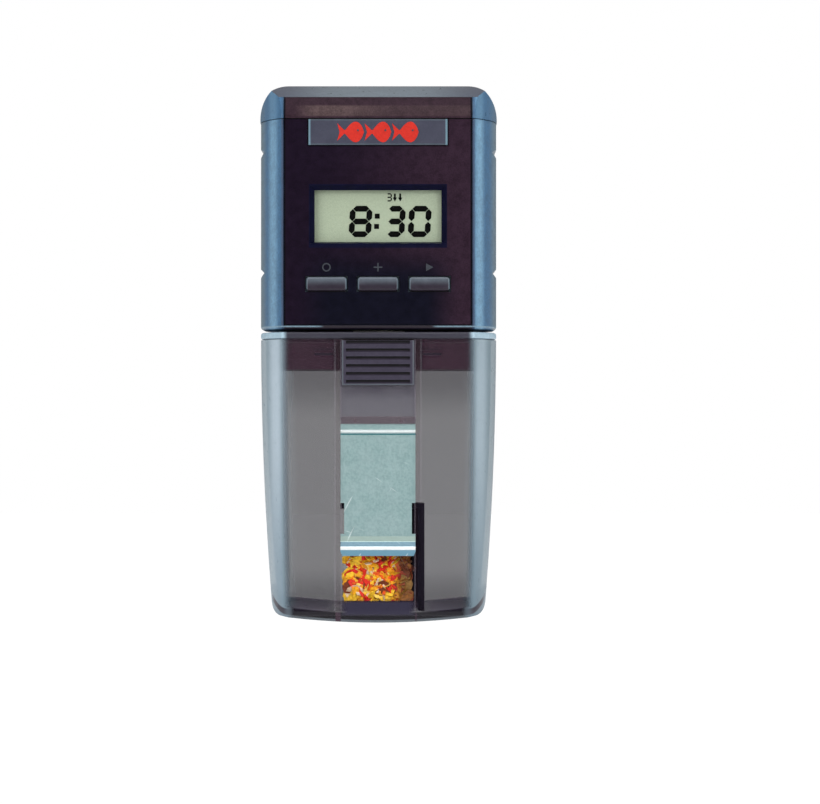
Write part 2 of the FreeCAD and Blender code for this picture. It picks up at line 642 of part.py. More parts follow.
def make_button(label, place):
    body = new_body(label)
    middle = f"({place} * button_pitch)"
    face = new_sketch(body, "XZ", f"-({FASCIA_BACK} + 0.1)")
    half = "(button_width / 2)"
    rise = "(button_height / 2)"
    left, right = f"{middle} - {half}", f"{middle} + {half}"
    low, high = f"{BUTTON_Z} - {rise}", f"{BUTTON_Z} + {rise}"
    corner = "button_corner"
    add_outline(face, [
        (f"{left} + {corner}", low, corner),
        (f"{right} - {corner}", low),
        (right, f"{low} + {corner}", corner),
        (right, f"{high} - {corner}"),
        (f"{right} - {corner}", high, corner),
        (f"{left} + {corner}", high),
        (left, f"{high} - {corner}", corner),
        (left, f"{low} + {corner}"),
    ])
    pad(body, face, "fascia_thick + 0.1 + button_proud")
    soften(body, "Fillet", "button_round", flat_at("y", f"{FRONT} - button_proud"))
    flange = new_sketch(body, "XZ", f"-({FASCIA_BACK} + 0.05)")
    wide = f"({half} + flange_width)"
    tall = f"({rise} + flange_width)"
    left, right = f"{middle} - {wide}", f"{middle} + {wide}"
    add_box(flange, left, right, f"{BUTTON_Z} - {tall}", f"{BUTTON_Z} + {tall}")
    pad(body, flange, "flange_thick", reverse=True)
    stem = new_sketch(body, "XZ", f"-{STEM_END}")
    add_circle(stem, middle, BUTTON_Z, "stem_radius")
    pad(body, stem, f"{STEM_END} - {FASCIA_BACK} - 0.3")


def make_legends():
    """Three moulded symbols: a ring with a hand, a plus, and an arrow head."""
    body = new_body("button_legends")
    middle = f"({BUTTON_Z} + legend_lift)"
    left = "(-button_pitch)"
    sketch = new_sketch(body, "XZ", f"-{FRONT} + 0.01")
    add_circle(sketch, left, middle, "legend_reach")
    add_circle(sketch, left, middle, "legend_reach - legend_stroke")
    arm, bar = "legend_reach", "(legend_stroke / 2)"
    cross = [
        (bar, bar), (bar, arm), (f"-{bar}", arm), (f"-{bar}", bar),
        (f"-{arm}", bar), (f"-{arm}", f"-{bar}"), (f"-{bar}", f"-{bar}"), (f"-{bar}", f"-{arm}"),
        (bar, f"-{arm}"), (bar, f"-{bar}"), (arm, f"-{bar}"), (arm, bar),
    ]
    add_outline(sketch, [(x, f"{middle} + ({z})") for x, z in cross])
    add_outline(sketch, [
        ("button_pitch - 0.8 * legend_reach", f"{middle} - 0.9 * legend_reach"),
        ("button_pitch + 0.9 * legend_reach", middle),
        ("button_pitch - 0.8 * legend_reach", f"{middle} + 0.9 * legend_reach"),
    ])
    pad(body, sketch, "legend_rise")


# what stands on the board's rear: a chip blob, a crystal, a capacitor and a transistor, each with its place
# across and above the board's middle and its size across, backwards and up (a round one: radius and length)
ROUND_PARTS = ((0.0, 2.0, 5.0, 1.4), (-12.0, 8.0, 2.5, 5.5))
SQUARE_PARTS = ((9.0, -10.0, 8.0, 2.4, 3.0), (-14.0, -6.0, 3.0, 1.2, 1.6))
BACKWARDS = Vector(0, 1, 0)


def make_board():
    body = new_body("circuit_board")
    block(body, "-board_width / 2", "board_width / 2", BOARD_FRONT, BOARD_BACK, BOARD_LOW, BOARD_TOP)
    holes = new_sketch(body, "XZ", f"-{BOARD_FRONT}")
    for x, z in board_screw_places():
        add_circle(holes, x, z, "screw_hole")
    pocket(body, holes, "board_thick + 1")


def make_board_screws():
    radius, height, slot = (value(name) for name in ("screw_head", "screw_head_height", "screw_slot"))
    length = value(f"{BOARD_BACK} - {FASCIA_BACK} - 0.5")
    screws = []
    for x, z in board_screw_places():
        place = Vector(value(x), value(BOARD_BACK) + 0.02, value(z))
        head = Part.makeCylinder(radius, height, place, BACKWARDS)
        shank = Part.makeCylinder(value("screw_shank"), length, place, -BACKWARDS)
        cut = Part.makeBox(2 * radius, slot, slot, place + Vector(-radius, height - slot, -slot / 2))
        screws.append(head.fuse(shank).removeSplitter().cut(cut))
    loose_shape("board_screws", Part.makeCompound(screws))


def make_board_parts():
    front = value(f"{BOARD_FRONT} - switch_height")
    side, height, nose = (value(name) for name in ("switch_side", "switch_height", "plunger_height"))
    level = value(BUTTON_Z)
    switches = []
    for spot in (-1, 0, 1):
        x = spot * value("button_pitch")
        case = Part.makeBox(side, height - nose, side, Vector(x - side / 2, front + nose, level - side / 2))
        plunger = Part.makeCylinder(value("plunger_radius"), nose, Vector(x, front, level), BACKWARDS)
        switches.append(case.fuse(plunger))
    loose_shape("tact_switches", Part.makeCompound(switches))
    back = value(BOARD_BACK)
    middle = value(f"({BOARD_LOW} + {BOARD_TOP}) / 2")
    parts = []
    for x, z, radius, length in ROUND_PARTS:
        parts.append(Part.makeCylinder(radius, length, Vector(x, back, middle + z), BACKWARDS))
    for x, z, wide, deep, tall in SQUARE_PARTS:
        parts.append(Part.makeBox(wide, deep, tall, Vector(x, back, middle + z)))
    loose_shape("board_components", Part.makeCompound(parts))


# ---------------------------------------------------------------------------------------------------------
# Cells, tray and contacts
# ---------------------------------------------------------------------------------------------------------


def make_battery_tray():
    body = new_body("battery_tray")
    half = "(cell_spread + cell_radius + tray_gap)"
    front = "(-cell_back - cell_radius - tray_gap)"
    back = "(-cell_back + cell_radius + tray_gap)"
    top = f"({SEAM} - cap_lip - 1.5)"
    block(body, f"-{half} - tray_wall", f"{half} + tray_wall", f"{front} - tray_wall", back, TRAY_BASE, top)
    dig(body, f"-{half}", half, front, f"{back} + 1", f"{TRAY_BASE} + tray_floor", f"{top} + 1")


def make_cells():
    cells = []
    for side in (-1, 1):
        x = side * value("cell_spread")
        y = -value("cell_back")
        base = value(CELL_BASE)
        length = value(CELL_TOP) - base
        can = length - value("nub_height")
        nub = Part.makeCylinder(value("nub_radius"), value("nub_height"), Vector(x, y, base + can))
        case = Part.makeCylinder(value("cell_radius"), can, Vector(x, y, base))
        rim = [e for e in case.Edges if e.Curve.TypeId == "Part::GeomCircle"]
        cell = case.makeFillet(0.5, rim).fuse(nub)
        if side > 0:
            cell.rotate(Vector(x, y, base + length / 2), Vector(1, 0, 0), 180)
        cells.append(cell)
    loose_shape("battery_cells", Part.makeCompound(cells))


def make_contacts():
    """A coil under the left cell, a flat tab under the right one, and a bridge above both."""
    tray_top = value(f"{TRAY_BASE} + tray_floor")
    room = value(CELL_BASE) - tray_top
    y = -value("cell_back")
    wire = value("wire_radius")
    rise = room - 2 * wire
    coil = Part.makeHelix(rise / value("coil_turns"), rise - 0.04, value("coil_radius"))
    coil.translate(Vector(-value("cell_spread"), y, tray_top + wire + 0.02))
    start = coil.Vertexes[0].Point
    section = Part.Wire([Part.Circle(start, Vector(0, 1, 0.1), wire).toShape()])
    spring = Part.Wire(coil.Edges).makePipeShell([section], True, True)
    loose_shape("contact_spring", spring)
    half = value("contact_half")
    x = value("cell_spread")
    tab = Part.makeBox(2 * half, 2 * half, 0.4, Vector(x - half, y - half, tray_top + 0.01))
    stud = Part.makeCylinder(half / 2, room - 0.45, Vector(x, y, tray_top + 0.4))
    loose_shape("contact_tab", tab.fuse(stud))
    bridge = new_body("contact_bridge")
    low = f"({CELL_TOP} + 0.05)"
    reach = "(cell_spread + contact_half)"
    block(bridge, f"-{reach}", reach, "-cell_back - 4", "-cell_back + 4", low, f"{low} + 0.5")


# ---------------------------------------------------------------------------------------------------------
# Gear train and motor
# ---------------------------------------------------------------------------------------------------------


def gear(teeth, module, low, thick, x, y, phase):
    """A spur gear with a tooth centred on the bearing phase, in radians."""
    builder = fcgear.FCWireBuilder()
    involute.CreateExternalGear(
        builder, value(module), round(value(teeth)), value("gear_angle"), split=True, addCoeff=1.0,
        dedCoeff=1.25, filletCoeff=0.3, shiftCoeff=-value("thin_teeth"),
    )
    wire = Part.Wire([curve.toShape() for curve in builder.wire])
    solid = Part.Face(wire).extrude(Vector(0, 0, value(thick)))
    turn = Rotation(Vector(0, 0, 1), math.degrees(phase))
    solid.Placement = Placement(Vector(value(x), value(y), value(low)), turn)
    return solid


def mesh_phase(teeth, driver_teeth, driver_phase, bearing):
    """The phase of a gear that meshes with a driver, which sees it at this bearing in radians."""
    offset = round(value(driver_teeth)) * (bearing - driver_phase) / (2 * math.pi)
    count = round(value(teeth))
    return bearing + math.pi - (0.5 - offset) * 2 * math.pi / count


def make_gears():
    out_phase = 0.0
    to_two = math.radians(value("stage_two_bearing"))
    to_one = math.radians(value("stage_one_bearing"))
    to_motor = math.radians(value("motor_bearing"))
    two_phase = mesh_phase("pinion_teeth", "output_teeth", out_phase, to_two)
    one_phase = mesh_phase("pinion_teeth", "wheel_teeth", two_phase, to_one)
    motor_phase = mesh_phase("pinion_teeth", "wheel_teeth", one_phase, to_motor)

    output = gear("output_teeth", "coarse_module", LEVEL_A, "output_thick", "0", AXIS_Y, out_phase)
    bore = rod("spindle_radius", LEVEL_A, LEVEL_B, "0", AXIS_Y)
    loose_shape("output_gear", output.cut(bore))

    hole = "axle_radius + axle_play"
    step = f"{LEVEL_B} - {LEVEL_A}"
    pinion = gear("pinion_teeth", "coarse_module", LEVEL_A, step, TWO_X, TWO_Y, two_phase)
    wheel = gear("wheel_teeth", "fine_module", LEVEL_B, "gear_thick", TWO_X, TWO_Y, two_phase)
    two = pinion.fuse(wheel).cut(rod(hole, FLOOR, PLATE_Z, TWO_X, TWO_Y))
    loose_shape("stage_two_gear", two)

    pinion = gear("pinion_teeth", "fine_module", LEVEL_B, f"{LEVEL_C} - {LEVEL_B}", ONE_X, ONE_Y, one_phase)
    wheel = gear("wheel_teeth", "fine_module", LEVEL_C, "gear_thick", ONE_X, ONE_Y, one_phase)
    one = pinion.fuse(wheel).cut(rod(hole, FLOOR, PLATE_Z, ONE_X, ONE_Y))
    loose_shape("stage_one_gear", one)

    teeth = gear("pinion_teeth", "fine_module", LEVEL_C, "gear_thick", MOTOR_X, MOTOR_Y, motor_phase)
    shaft = rod("motor_shaft", LEVEL_C, f"{MOTOR_BASE} + 3", MOTOR_X, MOTOR_Y)
    loose_shape("motor_pinion", teeth.fuse(shaft))

    axles = []
    for x, y in ((ONE_X, ONE_Y), (TWO_X, TWO_Y)):
        axles.append(rod("axle_radius", f"{FLOOR} - axle_seat", f"{PLATE_Z} + plate_thick - 0.5", x, y))
    loose_shape("gear_axles", Part.makeCompound(axles))


def make_gear_plate():
    body = new_body("gear_plate")
    sketch = new_sketch(body, "XY", PLATE_Z)
    front = f"({FRONT} + gear_plate_front)"
    back = f"({AXIS_Y} + gear_plate_back)"
    add_box(sketch, "-gear_plate_left", "gear_plate_right", front, back)
    pad(body, sketch, "plate_thick")
    if value("-cell_back - cell_radius - tray_gap - tray_wall - 0.4") < value(back):
        raise RuntimeError("the gear plate runs into the battery tray")
    holes = new_sketch(body, "XY", PLATE_Z)
    for x, y in ((ONE_X, ONE_Y), (TWO_X, TWO_Y)):
        add_circle(holes, x, y, "axle_radius")
    add_circle(holes, MOTOR_X, MOTOR_Y, "motor_hub")
    for x, y in POSTS:
        add_circle(holes, x, y, "screw_hole")
    pocket(body, holes, "plate_thick + 1", reverse=True)
    radius, height, slot = (value(name) for name in ("screw_head", "screw_head_height", "screw_slot"))
    screws = []
    for x, y in POSTS:
        head = rod("screw_head", f"{MOTOR_BASE} + 0.01", f"{MOTOR_BASE} + screw_head_height", x, y)
        shank = rod("screw_shank", f"{PLATE_Z} - pilot_depth + 1", f"{MOTOR_BASE} + 0.1", x, y)
        corner = Vector(value(x) - radius, value(y) - slot / 2, value(MOTOR_BASE) + height - slot)
        screws.append(head.fuse(shank).cut(Part.makeBox(2 * radius, slot, slot, corner)))
    loose_shape("gear_plate_screws", Part.makeCompound(screws))


def motor_block(low, high, grow):
    """A length of the motor's flat-sided round section."""
    radius = value("motor_wide") / 2 + grow
    flat = value("motor_flat") / 2 + grow
    bottom = value(low)
    tall = value(high) - bottom
    x, y = value(MOTOR_X), value(MOTOR_Y)
    round_bar = Part.makeCylinder(radius, tall, Vector(x, y, bottom))
    slab = Part.makeBox(2 * radius, 2 * flat, tall, Vector(x - radius, y - flat, bottom))
    return round_bar.common(slab)


def make_motor():
    top = f"({MOTOR_BASE} + motor_length)"
    split = f"({top} - motor_cap_length)"
    shaft_room = rod("motor_shaft + 0.1", MOTOR_BASE, f"{MOTOR_BASE} + 3.2", MOTOR_X, MOTOR_Y)
    loose_shape("motor_can", motor_block(f"{MOTOR_BASE} + 0.02", split, 0).cut(shaft_room))
    lid = motor_block(f"{split} + 0.02", top, -0.3)
    for side in (-1, 1):
        corner = Vector(value(MOTOR_X) + side * 6 - 0.2, value(MOTOR_Y) - 1.2, value(top) - 0.5)
        tab = Part.makeBox(0.4, 2.4, 3.4, corner)
        lid = lid.fuse(tab)
    loose_shape("motor_end_cap", lid)


# ---------------------------------------------------------------------------------------------------------
# Cap
# ---------------------------------------------------------------------------------------------------------

CREASE = f"({CAP_BASE} + cap_front_height)"
CREASE_Y = f"({FRONT} - cap_overhang + cap_front_lean)"
ROLL_Y = f"({CREASE_Y} + cap_roll)"
LEAN_RADIUS = "((cap_front_height ^ 2 + cap_front_lean ^ 2) / (2 * cap_front_lean))"
ROLL_RISE = "(cap_height - cap_front_height)"
ROLL_RADIUS = f"((cap_roll ^ 2 + {ROLL_RISE} ^ 2) / (2 * {ROLL_RISE}))"


def make_cap():
    body = new_body("battery_cap")
    pad(body, barrel_sketch(body, CAP_BASE, inset="-cap_overhang"), "cap_height")
    shoulders = new_sketch(body, "XZ")
    reach = "(width / 2 + cap_overhang)"
    inner = f"({reach} - cap_corner)"
    low = f"({CAP_TOP} - cap_corner)"
    high = f"({CAP_TOP} + 2)"
    for side in "-+":
        near, edge, far = (f"({side}{x})" for x in (inner, reach, f"({reach} + 2)"))
        if side == "+":
            points = [(near, CAP_TOP), (edge, low, "-cap_corner"), (far, low), (far, high), (near, high)]
        else:
            points = [(edge, low), (near, CAP_TOP, "-cap_corner"), (near, high), (far, high), (far, low)]
        add_outline(shoulders, points)
    pocket(body, shoulders, "2 * depth + 20", both_ways=True)
    roll = new_sketch(body, "YZ")
    front = f"({FRONT} - cap_overhang)"
    add_outline(roll, [
        (ROLL_Y, f"{CAP_TOP} + 2"),
        (f"{front} - 2", f"{CAP_TOP} + 2"),
        (f"{front} - 2", CAP_BASE),
        (front, CAP_BASE),
        (CREASE_Y, CREASE, f"-{LEAN_RADIUS}"),
        (ROLL_Y, CAP_TOP, f"-{ROLL_RADIUS}"),
    ])
    pocket(body, roll, "2 * width + 20", both_ways=True)
    rear = new_sketch(body, "YZ")
    add_outline(rear, [
        ("cap_overhang + 2", CAP_BASE),
        ("cap_overhang + 2", f"{CAP_TOP} + 2"),
        ("cap_overhang - cap_front_lean - cap_roll", f"{CAP_TOP} + 2"),
        ("cap_overhang - cap_front_lean - cap_roll", CAP_TOP),
        ("cap_overhang - cap_front_lean", CREASE, f"-{ROLL_RADIUS}"),
        ("cap_overhang", CAP_BASE, f"-{LEAN_RADIUS}"),
    ])
    pocket(body, rear, "2 * width + 20", both_ways=True)
    hollow = barrel_sketch(body, CAP_BASE, inset="cap_wall + cap_front_lean", edge="0.5 * edge_radius")
    pocket(body, hollow, "cap_front_height - 1.2", reverse=True)
    dome = "(width / 2 - cap_corner - cap_wall)"
    ceiling = f"({CREASE} - 1.3)"
    rear_end = "(-cell_back - contact_half - 1)"
    dig(body, f"-{dome}", dome, f"{ROLL_Y} + cap_wall", rear_end, ceiling, f"{CAP_TOP} - cap_wall")
    inset = "(housing_wall + slip + 0.6)"
    lip = barrel_sketch(body, f"{CAP_BASE} - cap_lip - seam_gap", inset=inset, edge="0.5 * edge_radius")
    add_outline(lip, barrel_points(f"{inset} + lip_wall", 0, "0.3 * edge_radius"))
    pad(body, lip, "cap_lip + seam_gap + 2")
    visor = "(fascia_width / 2 + panel_gap)"
    dig(body, f"-{visor}", visor, f"{FRONT} - 1", f"{CREASE_Y} + 0.35", f"{CAP_BASE} - 0.1", CREASE)
    pillar = new_sketch(body, "XY", f"{CELL_TOP} + 0.57")
    across = "(cell_spread + contact_half + 0.5)"
    add_box(pillar, f"-{across}", across, "-cell_back - contact_half", "-cell_back + contact_half")
    pad(body, pillar, f"{CREASE} - {CELL_TOP} - 0.57")


def make_visor():
    """The dark front of the cap, in line with the fascia below it."""
    body = new_body("cap_visor")
    front = f"({FRONT} - cap_overhang)"
    back = f"({CREASE_Y} + 0.33)"
    sketch = new_sketch(body, "YZ")
    add_outline(sketch, [
        (back, f"{CAP_BASE} + 0.05"),
        (back, f"{CREASE} - 0.06"),
        (f"{CREASE_Y} + 0.02", f"{CREASE} - 0.06"),
        (front, f"{CAP_BASE} + 0.05", LEAN_RADIUS),
    ])
    pad(body, sketch, "fascia_width", both_ways=True)


# ---------------------------------------------------------------------------------------------------------
# Drum carrier
# ---------------------------------------------------------------------------------------------------------


def make_carrier():
    body = new_body("drum_carrier")
    pad(body, barrel_sketch(body, CARRIER_BASE), "carrier_thick")
    top = flat_at("z", CARRIER_TOP)
    bottom = flat_at("z", CARRIER_BASE)
    soften(body, "Fillet", "carrier_rounding", lambda e: top(e) or bottom(e))
    inset = "(drum_wall + skirt_play + 0.05)"
    low = f"({CARRIER_BASE} - skirt_depth)"
    skirt = barrel_sketch(body, low, inset=inset, edge="0.5 * edge_radius")
    add_outline(skirt, barrel_points(f"{inset} + skirt_wall", 0, "0.4 * edge_radius"))
    pad(body, skirt, "skirt_depth + 0.5")
    clear = "(channel_width / 2 + rail_width + skirt_play)"
    floor_back = f"({CHANNEL_FLOOR} + drum_wall + skirt_play)"
    dig(body, f"-{clear}", clear, f"{FRONT} + drum_wall", floor_back, f"{low} - 1", CARRIER_BASE)
    wall = new_sketch(body, "XY", low)
    add_box(wall, f"-{clear} - 0.6", f"{clear} + 0.6", floor_back, f"{floor_back} + skirt_wall")
    pad(body, wall, "skirt_depth + 0.5")
    inside = f"({FRONT} + drum_wall + skirt_play + skirt_wall)"
    for side in "-+":
        for drop in ("upper_rib_drop", "lower_rib_drop"):
            near = f"({side}{clear})"
            far = f"({side}({clear} + rib_length))"
            left, right = (far, near) if side == "-" else (near, far)
            top = f"({CARRIER_BASE} - {drop} + 0.2)"
            block(body, left, right, inside, f"{inside} + rib_depth", f"{top} - rib_height", top)
    shaft = new_sketch(body, "XY", f"{CARRIER_TOP} - 0.5")
    add_circle(shaft, "0", AXIS_Y, "shaft_radius")
    pad(body, shaft, f"{LEVEL_A} - 0.05 - {CARRIER_TOP} + 0.5")
    spindle = new_sketch(body, "XY", f"{LEVEL_A} - 0.2")
    add_circle(spindle, "0", AXIS_Y, "spindle_radius")
    pad(body, spindle, f"{LEVEL_B} - {LEVEL_A} + 0.4")
    groove = new_sketch(body, "XY", f"{LEVEL_B} - 0.15 - clip_thick - 0.06")
    add_circle(groove, "0", AXIS_Y, "spindle_radius + clip_groove")
    add_circle(groove, "0", AXIS_Y, "spindle_radius - clip_groove")
    pocket(body, groove, "clip_thick + 0.06", reverse=True)


def make_shaft_rings():
    """The clip that holds the output gear on the spindle, and the washer under the head."""
    high = f"({LEVEL_B} - 0.18)"
    ring = rod("clip_radius", f"{high} - clip_thick", high, "0", AXIS_Y)
    ring = ring.cut(rod("spindle_radius - clip_groove + 0.02", LEVEL_A, LEVEL_C, "0", AXIS_Y))
    gape = value("clip_mouth")
    mouth = Part.makeBox(6, gape, 4, Vector(0, value(AXIS_Y) - gape / 2, value(LEVEL_B) - 2))
    loose_shape("retaining_clip", ring.cut(mouth))
    low = f"({CARRIER_TOP} + 0.05)"
    washer = rod("washer_radius", low, f"{low} + washer_thick", "0", AXIS_Y)
    loose_shape("thrust_washer", washer.cut(rod("shaft_radius + 0.1", CARRIER_TOP, BASE, "0", AXIS_Y)))


# ---------------------------------------------------------------------------------------------------------
# Drum
# ---------------------------------------------------------------------------------------------------------


def loft(body, kind, inset, low, edge):
    """Lofts the barrel section from the rim down to a height, narrowing as the drum does."""
    sections = [
        barrel_sketch(body, RIM if inset == "0" else f"{RIM} + 1", inset, "0", edge),
        barrel_sketch(body, f"{RIM} - drum_height / 2", inset, "taper_middle", edge),
        barrel_sketch(body, low, inset, "taper_end", edge),
    ]
    made = body.newObject(f"PartDesign::{kind}Loft", kind + "Loft")
    made.Profile = sections[0]
    made.Sections = sections[1:]
    doc.recompute()
    return made


def make_drum():
    body = new_body("drum_shell")
    loft(body, "Additive", "0", DRUM_END, "edge_radius")
    loft(body, "Subtractive", "drum_wall", f"{DRUM_END} + drum_floor", "0.5 * edge_radius")
    rail = "(channel_width / 2 + rail_width)"
    front, back = f"{FRONT} + drum_wall / 2", f"{CHANNEL_FLOOR} + drum_wall"
    block(body, f"-{rail}", rail, front, back, f"{DRUM_END} + drum_floor - 0.5", RIM)
    open_half = "(channel_width / 2)"
    lip_half = f"({open_half} - lip_cover)"
    lip_end = f"({RIM} - lip_length)"
    dig(body, f"-{lip_half}", lip_half, f"{FRONT} - 1", CHANNEL_FLOOR, f"{lip_end} - 1", f"{RIM} + 1")
    behind = f"({FRONT} + lip_thick)"
    dig(body, f"-{open_half}", open_half, behind, CHANNEL_FLOOR, f"{lip_end} - 1", f"{RIM} + 1")
    sill = f"({WINDOW_BASE} - 0.4)"
    dig(body, f"-{open_half}", open_half, f"{FRONT} - 1", CHANNEL_FLOOR, sill, lip_end)
    dig(
        body, "-outlet_width / 2", "outlet_width / 2", f"{FRONT} - 1", f"{CHANNEL_FLOOR} + drum_wall + 1",
        WINDOW_BASE, WINDOW_TOP,
    )
    dig(body, f"-{open_half}", open_half, f"{FRONT} - 1", f"{FRONT} + 0.7", f"{DRUM_END} - 1", sill)
    under = new_sketch(body, "XZ")
    half = "(width / 2 - taper_end - drum_corner)"
    reach = "(width / 2 + 2)"
    low = f"({DRUM_END} - 3)"
    shelf = f"({DRUM_END} + drum_sag)"
    bow = f"(({half} ^ 2 + drum_sag ^ 2) / (2 * drum_sag))"
    side_x = "(width / 2 - taper_end + 0.2)"
    top = f"({shelf} + drum_corner)"
    arc = "-1.06 * drum_corner"
    for side in "-+":
        inner, outer, bend = (f"({side}{x})" for x in (half, reach, side_x))
        if side == "+":
            points = [(inner, low), (outer, low), (outer, top), (bend, top), (inner, shelf, arc)]
        else:
            points = [(outer, top), (outer, low), (inner, low), (inner, shelf), (bend, top, arc)]
        add_outline(under, points)
    pocket(body, under, "2 * depth + 20", both_ways=True)
    bulge = new_sketch(body, "XZ")
    add_outline(bulge, [
        (f"-{half}", low),
        (half, low),
        (half, shelf),
        ("0", DRUM_END, f"-{bow}"),
        (f"-{half}", shelf, f"-{bow}"),
    ])
    pocket(body, bulge, "2 * depth + 20", both_ways=True)
    turned = new_sketch(body, "YZ")
    radius = "drum_front_corner"
    start = f"({DRUM_END} + drum_sag + {radius})"
    add_outline(turned, [
        (f"{FRONT} - 2", f"{DRUM_END} - 2"),
        (f"{FRONT} + {radius}", f"{DRUM_END} - 2"),
        (f"{FRONT} + {radius}", f"{start} - {radius}"),
        (FRONT, start, f"-{radius}"),
        (f"{FRONT} - 2", start),
    ])
    add_outline(turned, [
        ("2", f"{DRUM_END} - 2"),
        ("2", start),
        ("0", start),
        (f"-{radius}", f"{start} - {radius}", f"-{radius}"),
        (f"-{radius}", f"{DRUM_END} - 2"),
    ])
    pocket(body, turned, "2 * width", both_ways=True)


# ---------------------------------------------------------------------------------------------------------
# Dosing scoop, slider and shutter
# ---------------------------------------------------------------------------------------------------------


def make_scoop():
    body = new_body("dosing_scoop")
    low = f"({DRUM_END} + drum_floor + 0.1)"
    near = f"({CHANNEL_FLOOR} + drum_wall + 0.1)"
    outer = "(channel_width / 2 + rail_width + 0.9)"
    bend = "scoop_bend"
    left = "(-scoop_bend)"
    far = f"({near} + scoop_depth)"
    wall = new_sketch(body, "XY", low)
    add_outline(wall, [
        (f"{outer} - scoop_bar", near),
        (outer, near),
        (outer, f"{far} - {bend}"),
        (f"{outer} - {bend}", far, bend),
        (left, far),
        (left, f"{far} - scoop_wall"),
        (f"{outer} - {bend}", f"{far} - scoop_wall"),
        (f"{outer} - scoop_bar", f"{far} - {bend}", f"-({bend} - scoop_bar)"),
    ])
    pad(body, wall, "scoop_height")
    roof = new_sketch(body, "XY", f"{low} + scoop_height - scoop_wall")
    add_outline(roof, [
        ("-outlet_width / 2 - 1", near),
        (f"{outer} - 0.5", near),
        (f"{outer} - 0.5", f"{far} - {bend}"),
        (f"{outer} - {bend}", f"{far} - 0.5", f"{bend} - 0.5"),
        (left, f"{far} - 0.5"),
        ("-outlet_width / 2 - 1", f"{near} + 6"),
    ])
    pad(body, roof, "scoop_wall")


def make_slider():
    strip = new_body("slider_strip")
    half = "(channel_width / 2 - 2 * slide_play)"
    front = f"({FRONT} + lip_thick + slide_play)"
    back = f"({front} + strip_thick)"
    low = f"({RIM} - plate_drop)"
    block(strip, f"-{half}", half, front, back, low, f"{RIM} - grip_drop")
    step = f"({back} - sheet_thick - 0.05)"
    tab = f"{low} + tab_height"
    dig(strip, f"-{half} - 1", f"{half} + 1", step, f"{back} + 1", f"{low} - 1", f"{tab} + 0.1")
    pins = new_sketch(strip, "XZ", f"-{back} + sheet_thick")
    for side in "-+":
        add_circle(pins, f"({side}pin_side)", f"{low} + tab_height / 2", "pin_radius")
    pad(strip, pins, "sheet_thick - 0.02", reverse=True)
    grip = new_body("thumb_grip")
    wide = "(channel_width / 2 - lip_cover - slide_play)"
    face = f"({FRONT} - grip_proud)"
    base = f"({RIM} - grip_drop - grip_height)"
    block(grip, f"-{wide}", wide, face, f"{front} - 0.01", base, f"{RIM} - grip_drop")
    soften(grip, "Fillet", "grip_round", flat_at("y", face))
    for number in range(round(value("grip_ribs"))):
        level = f"({base} + first_groove + {number} * groove_pitch)"
        reach = f"({wide} - grip_frame)"
        dig(grip, f"-{reach}", reach, f"{face} - 1", f"{face} + grip_cut", level, f"{level} + groove_width")
    make_shutter(half)


def make_shutter(half):
    """Bent steel sheet: a tab behind the strip, a bead across the top and a finger roll at the bottom."""
    body = new_body("shutter_plate")
    top = f"({RIM} - plate_drop)"
    end = f"({top} - shutter_height)"
    rear = f"({CHANNEL_FLOOR} - slide_play)"
    face = f"({rear} - sheet_thick)"
    out = f"({rear} - lip_bend)"
    profile = new_sketch(body, "YZ")
    add_outline(profile, [
        (face, f"{top} + tab_height"),
        (face, f"{top} - bead_drop"),
        (f"{face} - bead_height", f"{top} - bead_drop - 0.3"),
        (f"{face} - bead_height", f"{top} - bead_drop - 0.6"),
        (face, f"{top} - bead_drop - 0.9"),
        (face, f"{end} + 4.4"),
        (f"{out} - 0.1", f"{end} + 2.6"),
        (f"{out} - 0.1", f"{end} + 1.8"),
        (f"{rear} - 1.0", end),
        (f"{rear} - 0.6", f"{end} + 0.1"),
        (f"{out} + 0.35", f"{end} + 2.0"),
        (f"{out} + 0.35", f"{end} + 2.35"),
        (rear, f"{end} + 4.1"),
        (rear, f"{top} + tab_height"),
    ])
    pad(body, profile, f"2 * {half}", both_ways=True)
    cuts = new_sketch(body, "XZ", f"-{rear}")
    high = f"({top} - notch_drop)"
    for side in "-+":
        near = f"({side}({half} - notch_depth))"
        far = f"({side}({half} + 1))"
        left, right = (far, near) if side == "-" else (near, far)
        add_box(cuts, left, right, f"{high} - notch_height", high)
        corner = [
            (f"{side}({half} - 1)", f"{end} - 1"),
            (f"{side}({half} + 0.5)", f"{end} - 1"),
            (f"{side}({half} + 0.5)", f"{end} + 2.4"),
        ]
        add_outline(cuts, corner if side == "+" else corner[::-1])
        add_circle(cuts, f"({side}pin_side)", f"{top} + tab_height / 2", "pin_radius + 0.05")
    pocket(body, cuts, "2 * lip_bend + 4", both_ways=True)


# ---------------------------------------------------------------------------------------------------------
# Build, check and write
# ---------------------------------------------------------------------------------------------------------

make_housing()
make_fascia()
make_badge()
make_display()
make_button("button_left", -1)
make_button("button_middle", 0)
make_button("button_right", 1)
make_legends()
make_board()
make_board_screws()
make_board_parts()
make_battery_tray()
make_cells()
make_contacts()
make_gears()
make_gear_plate()
make_motor()
make_cap()
make_visor()
make_carrier()
make_shaft_rings()
make_drum()
make_scoop()
make_slider()
doc.recompute()

for item in doc.Objects:
    if {"Invalid", "Error"} & set(item.State):
        raise RuntimeError(f"{item.Label} is {item.State}")
for piece in finished:
    if piece.Shape.isNull() or not piece.Shape.isValid() or not piece.Shape.Solids:
        raise RuntimeError(f"{piece.Label} has no valid solid")

os.makedirs("parts", exist_ok=True)
for piece in finished:
    piece.Shape.exportStep(f"parts/{piece.Label}.step")
print(f"{len(finished)} sub-parts written")
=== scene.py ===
"""Looks for the automatic fish food feeder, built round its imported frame. All places are in metres."""

import math
import random

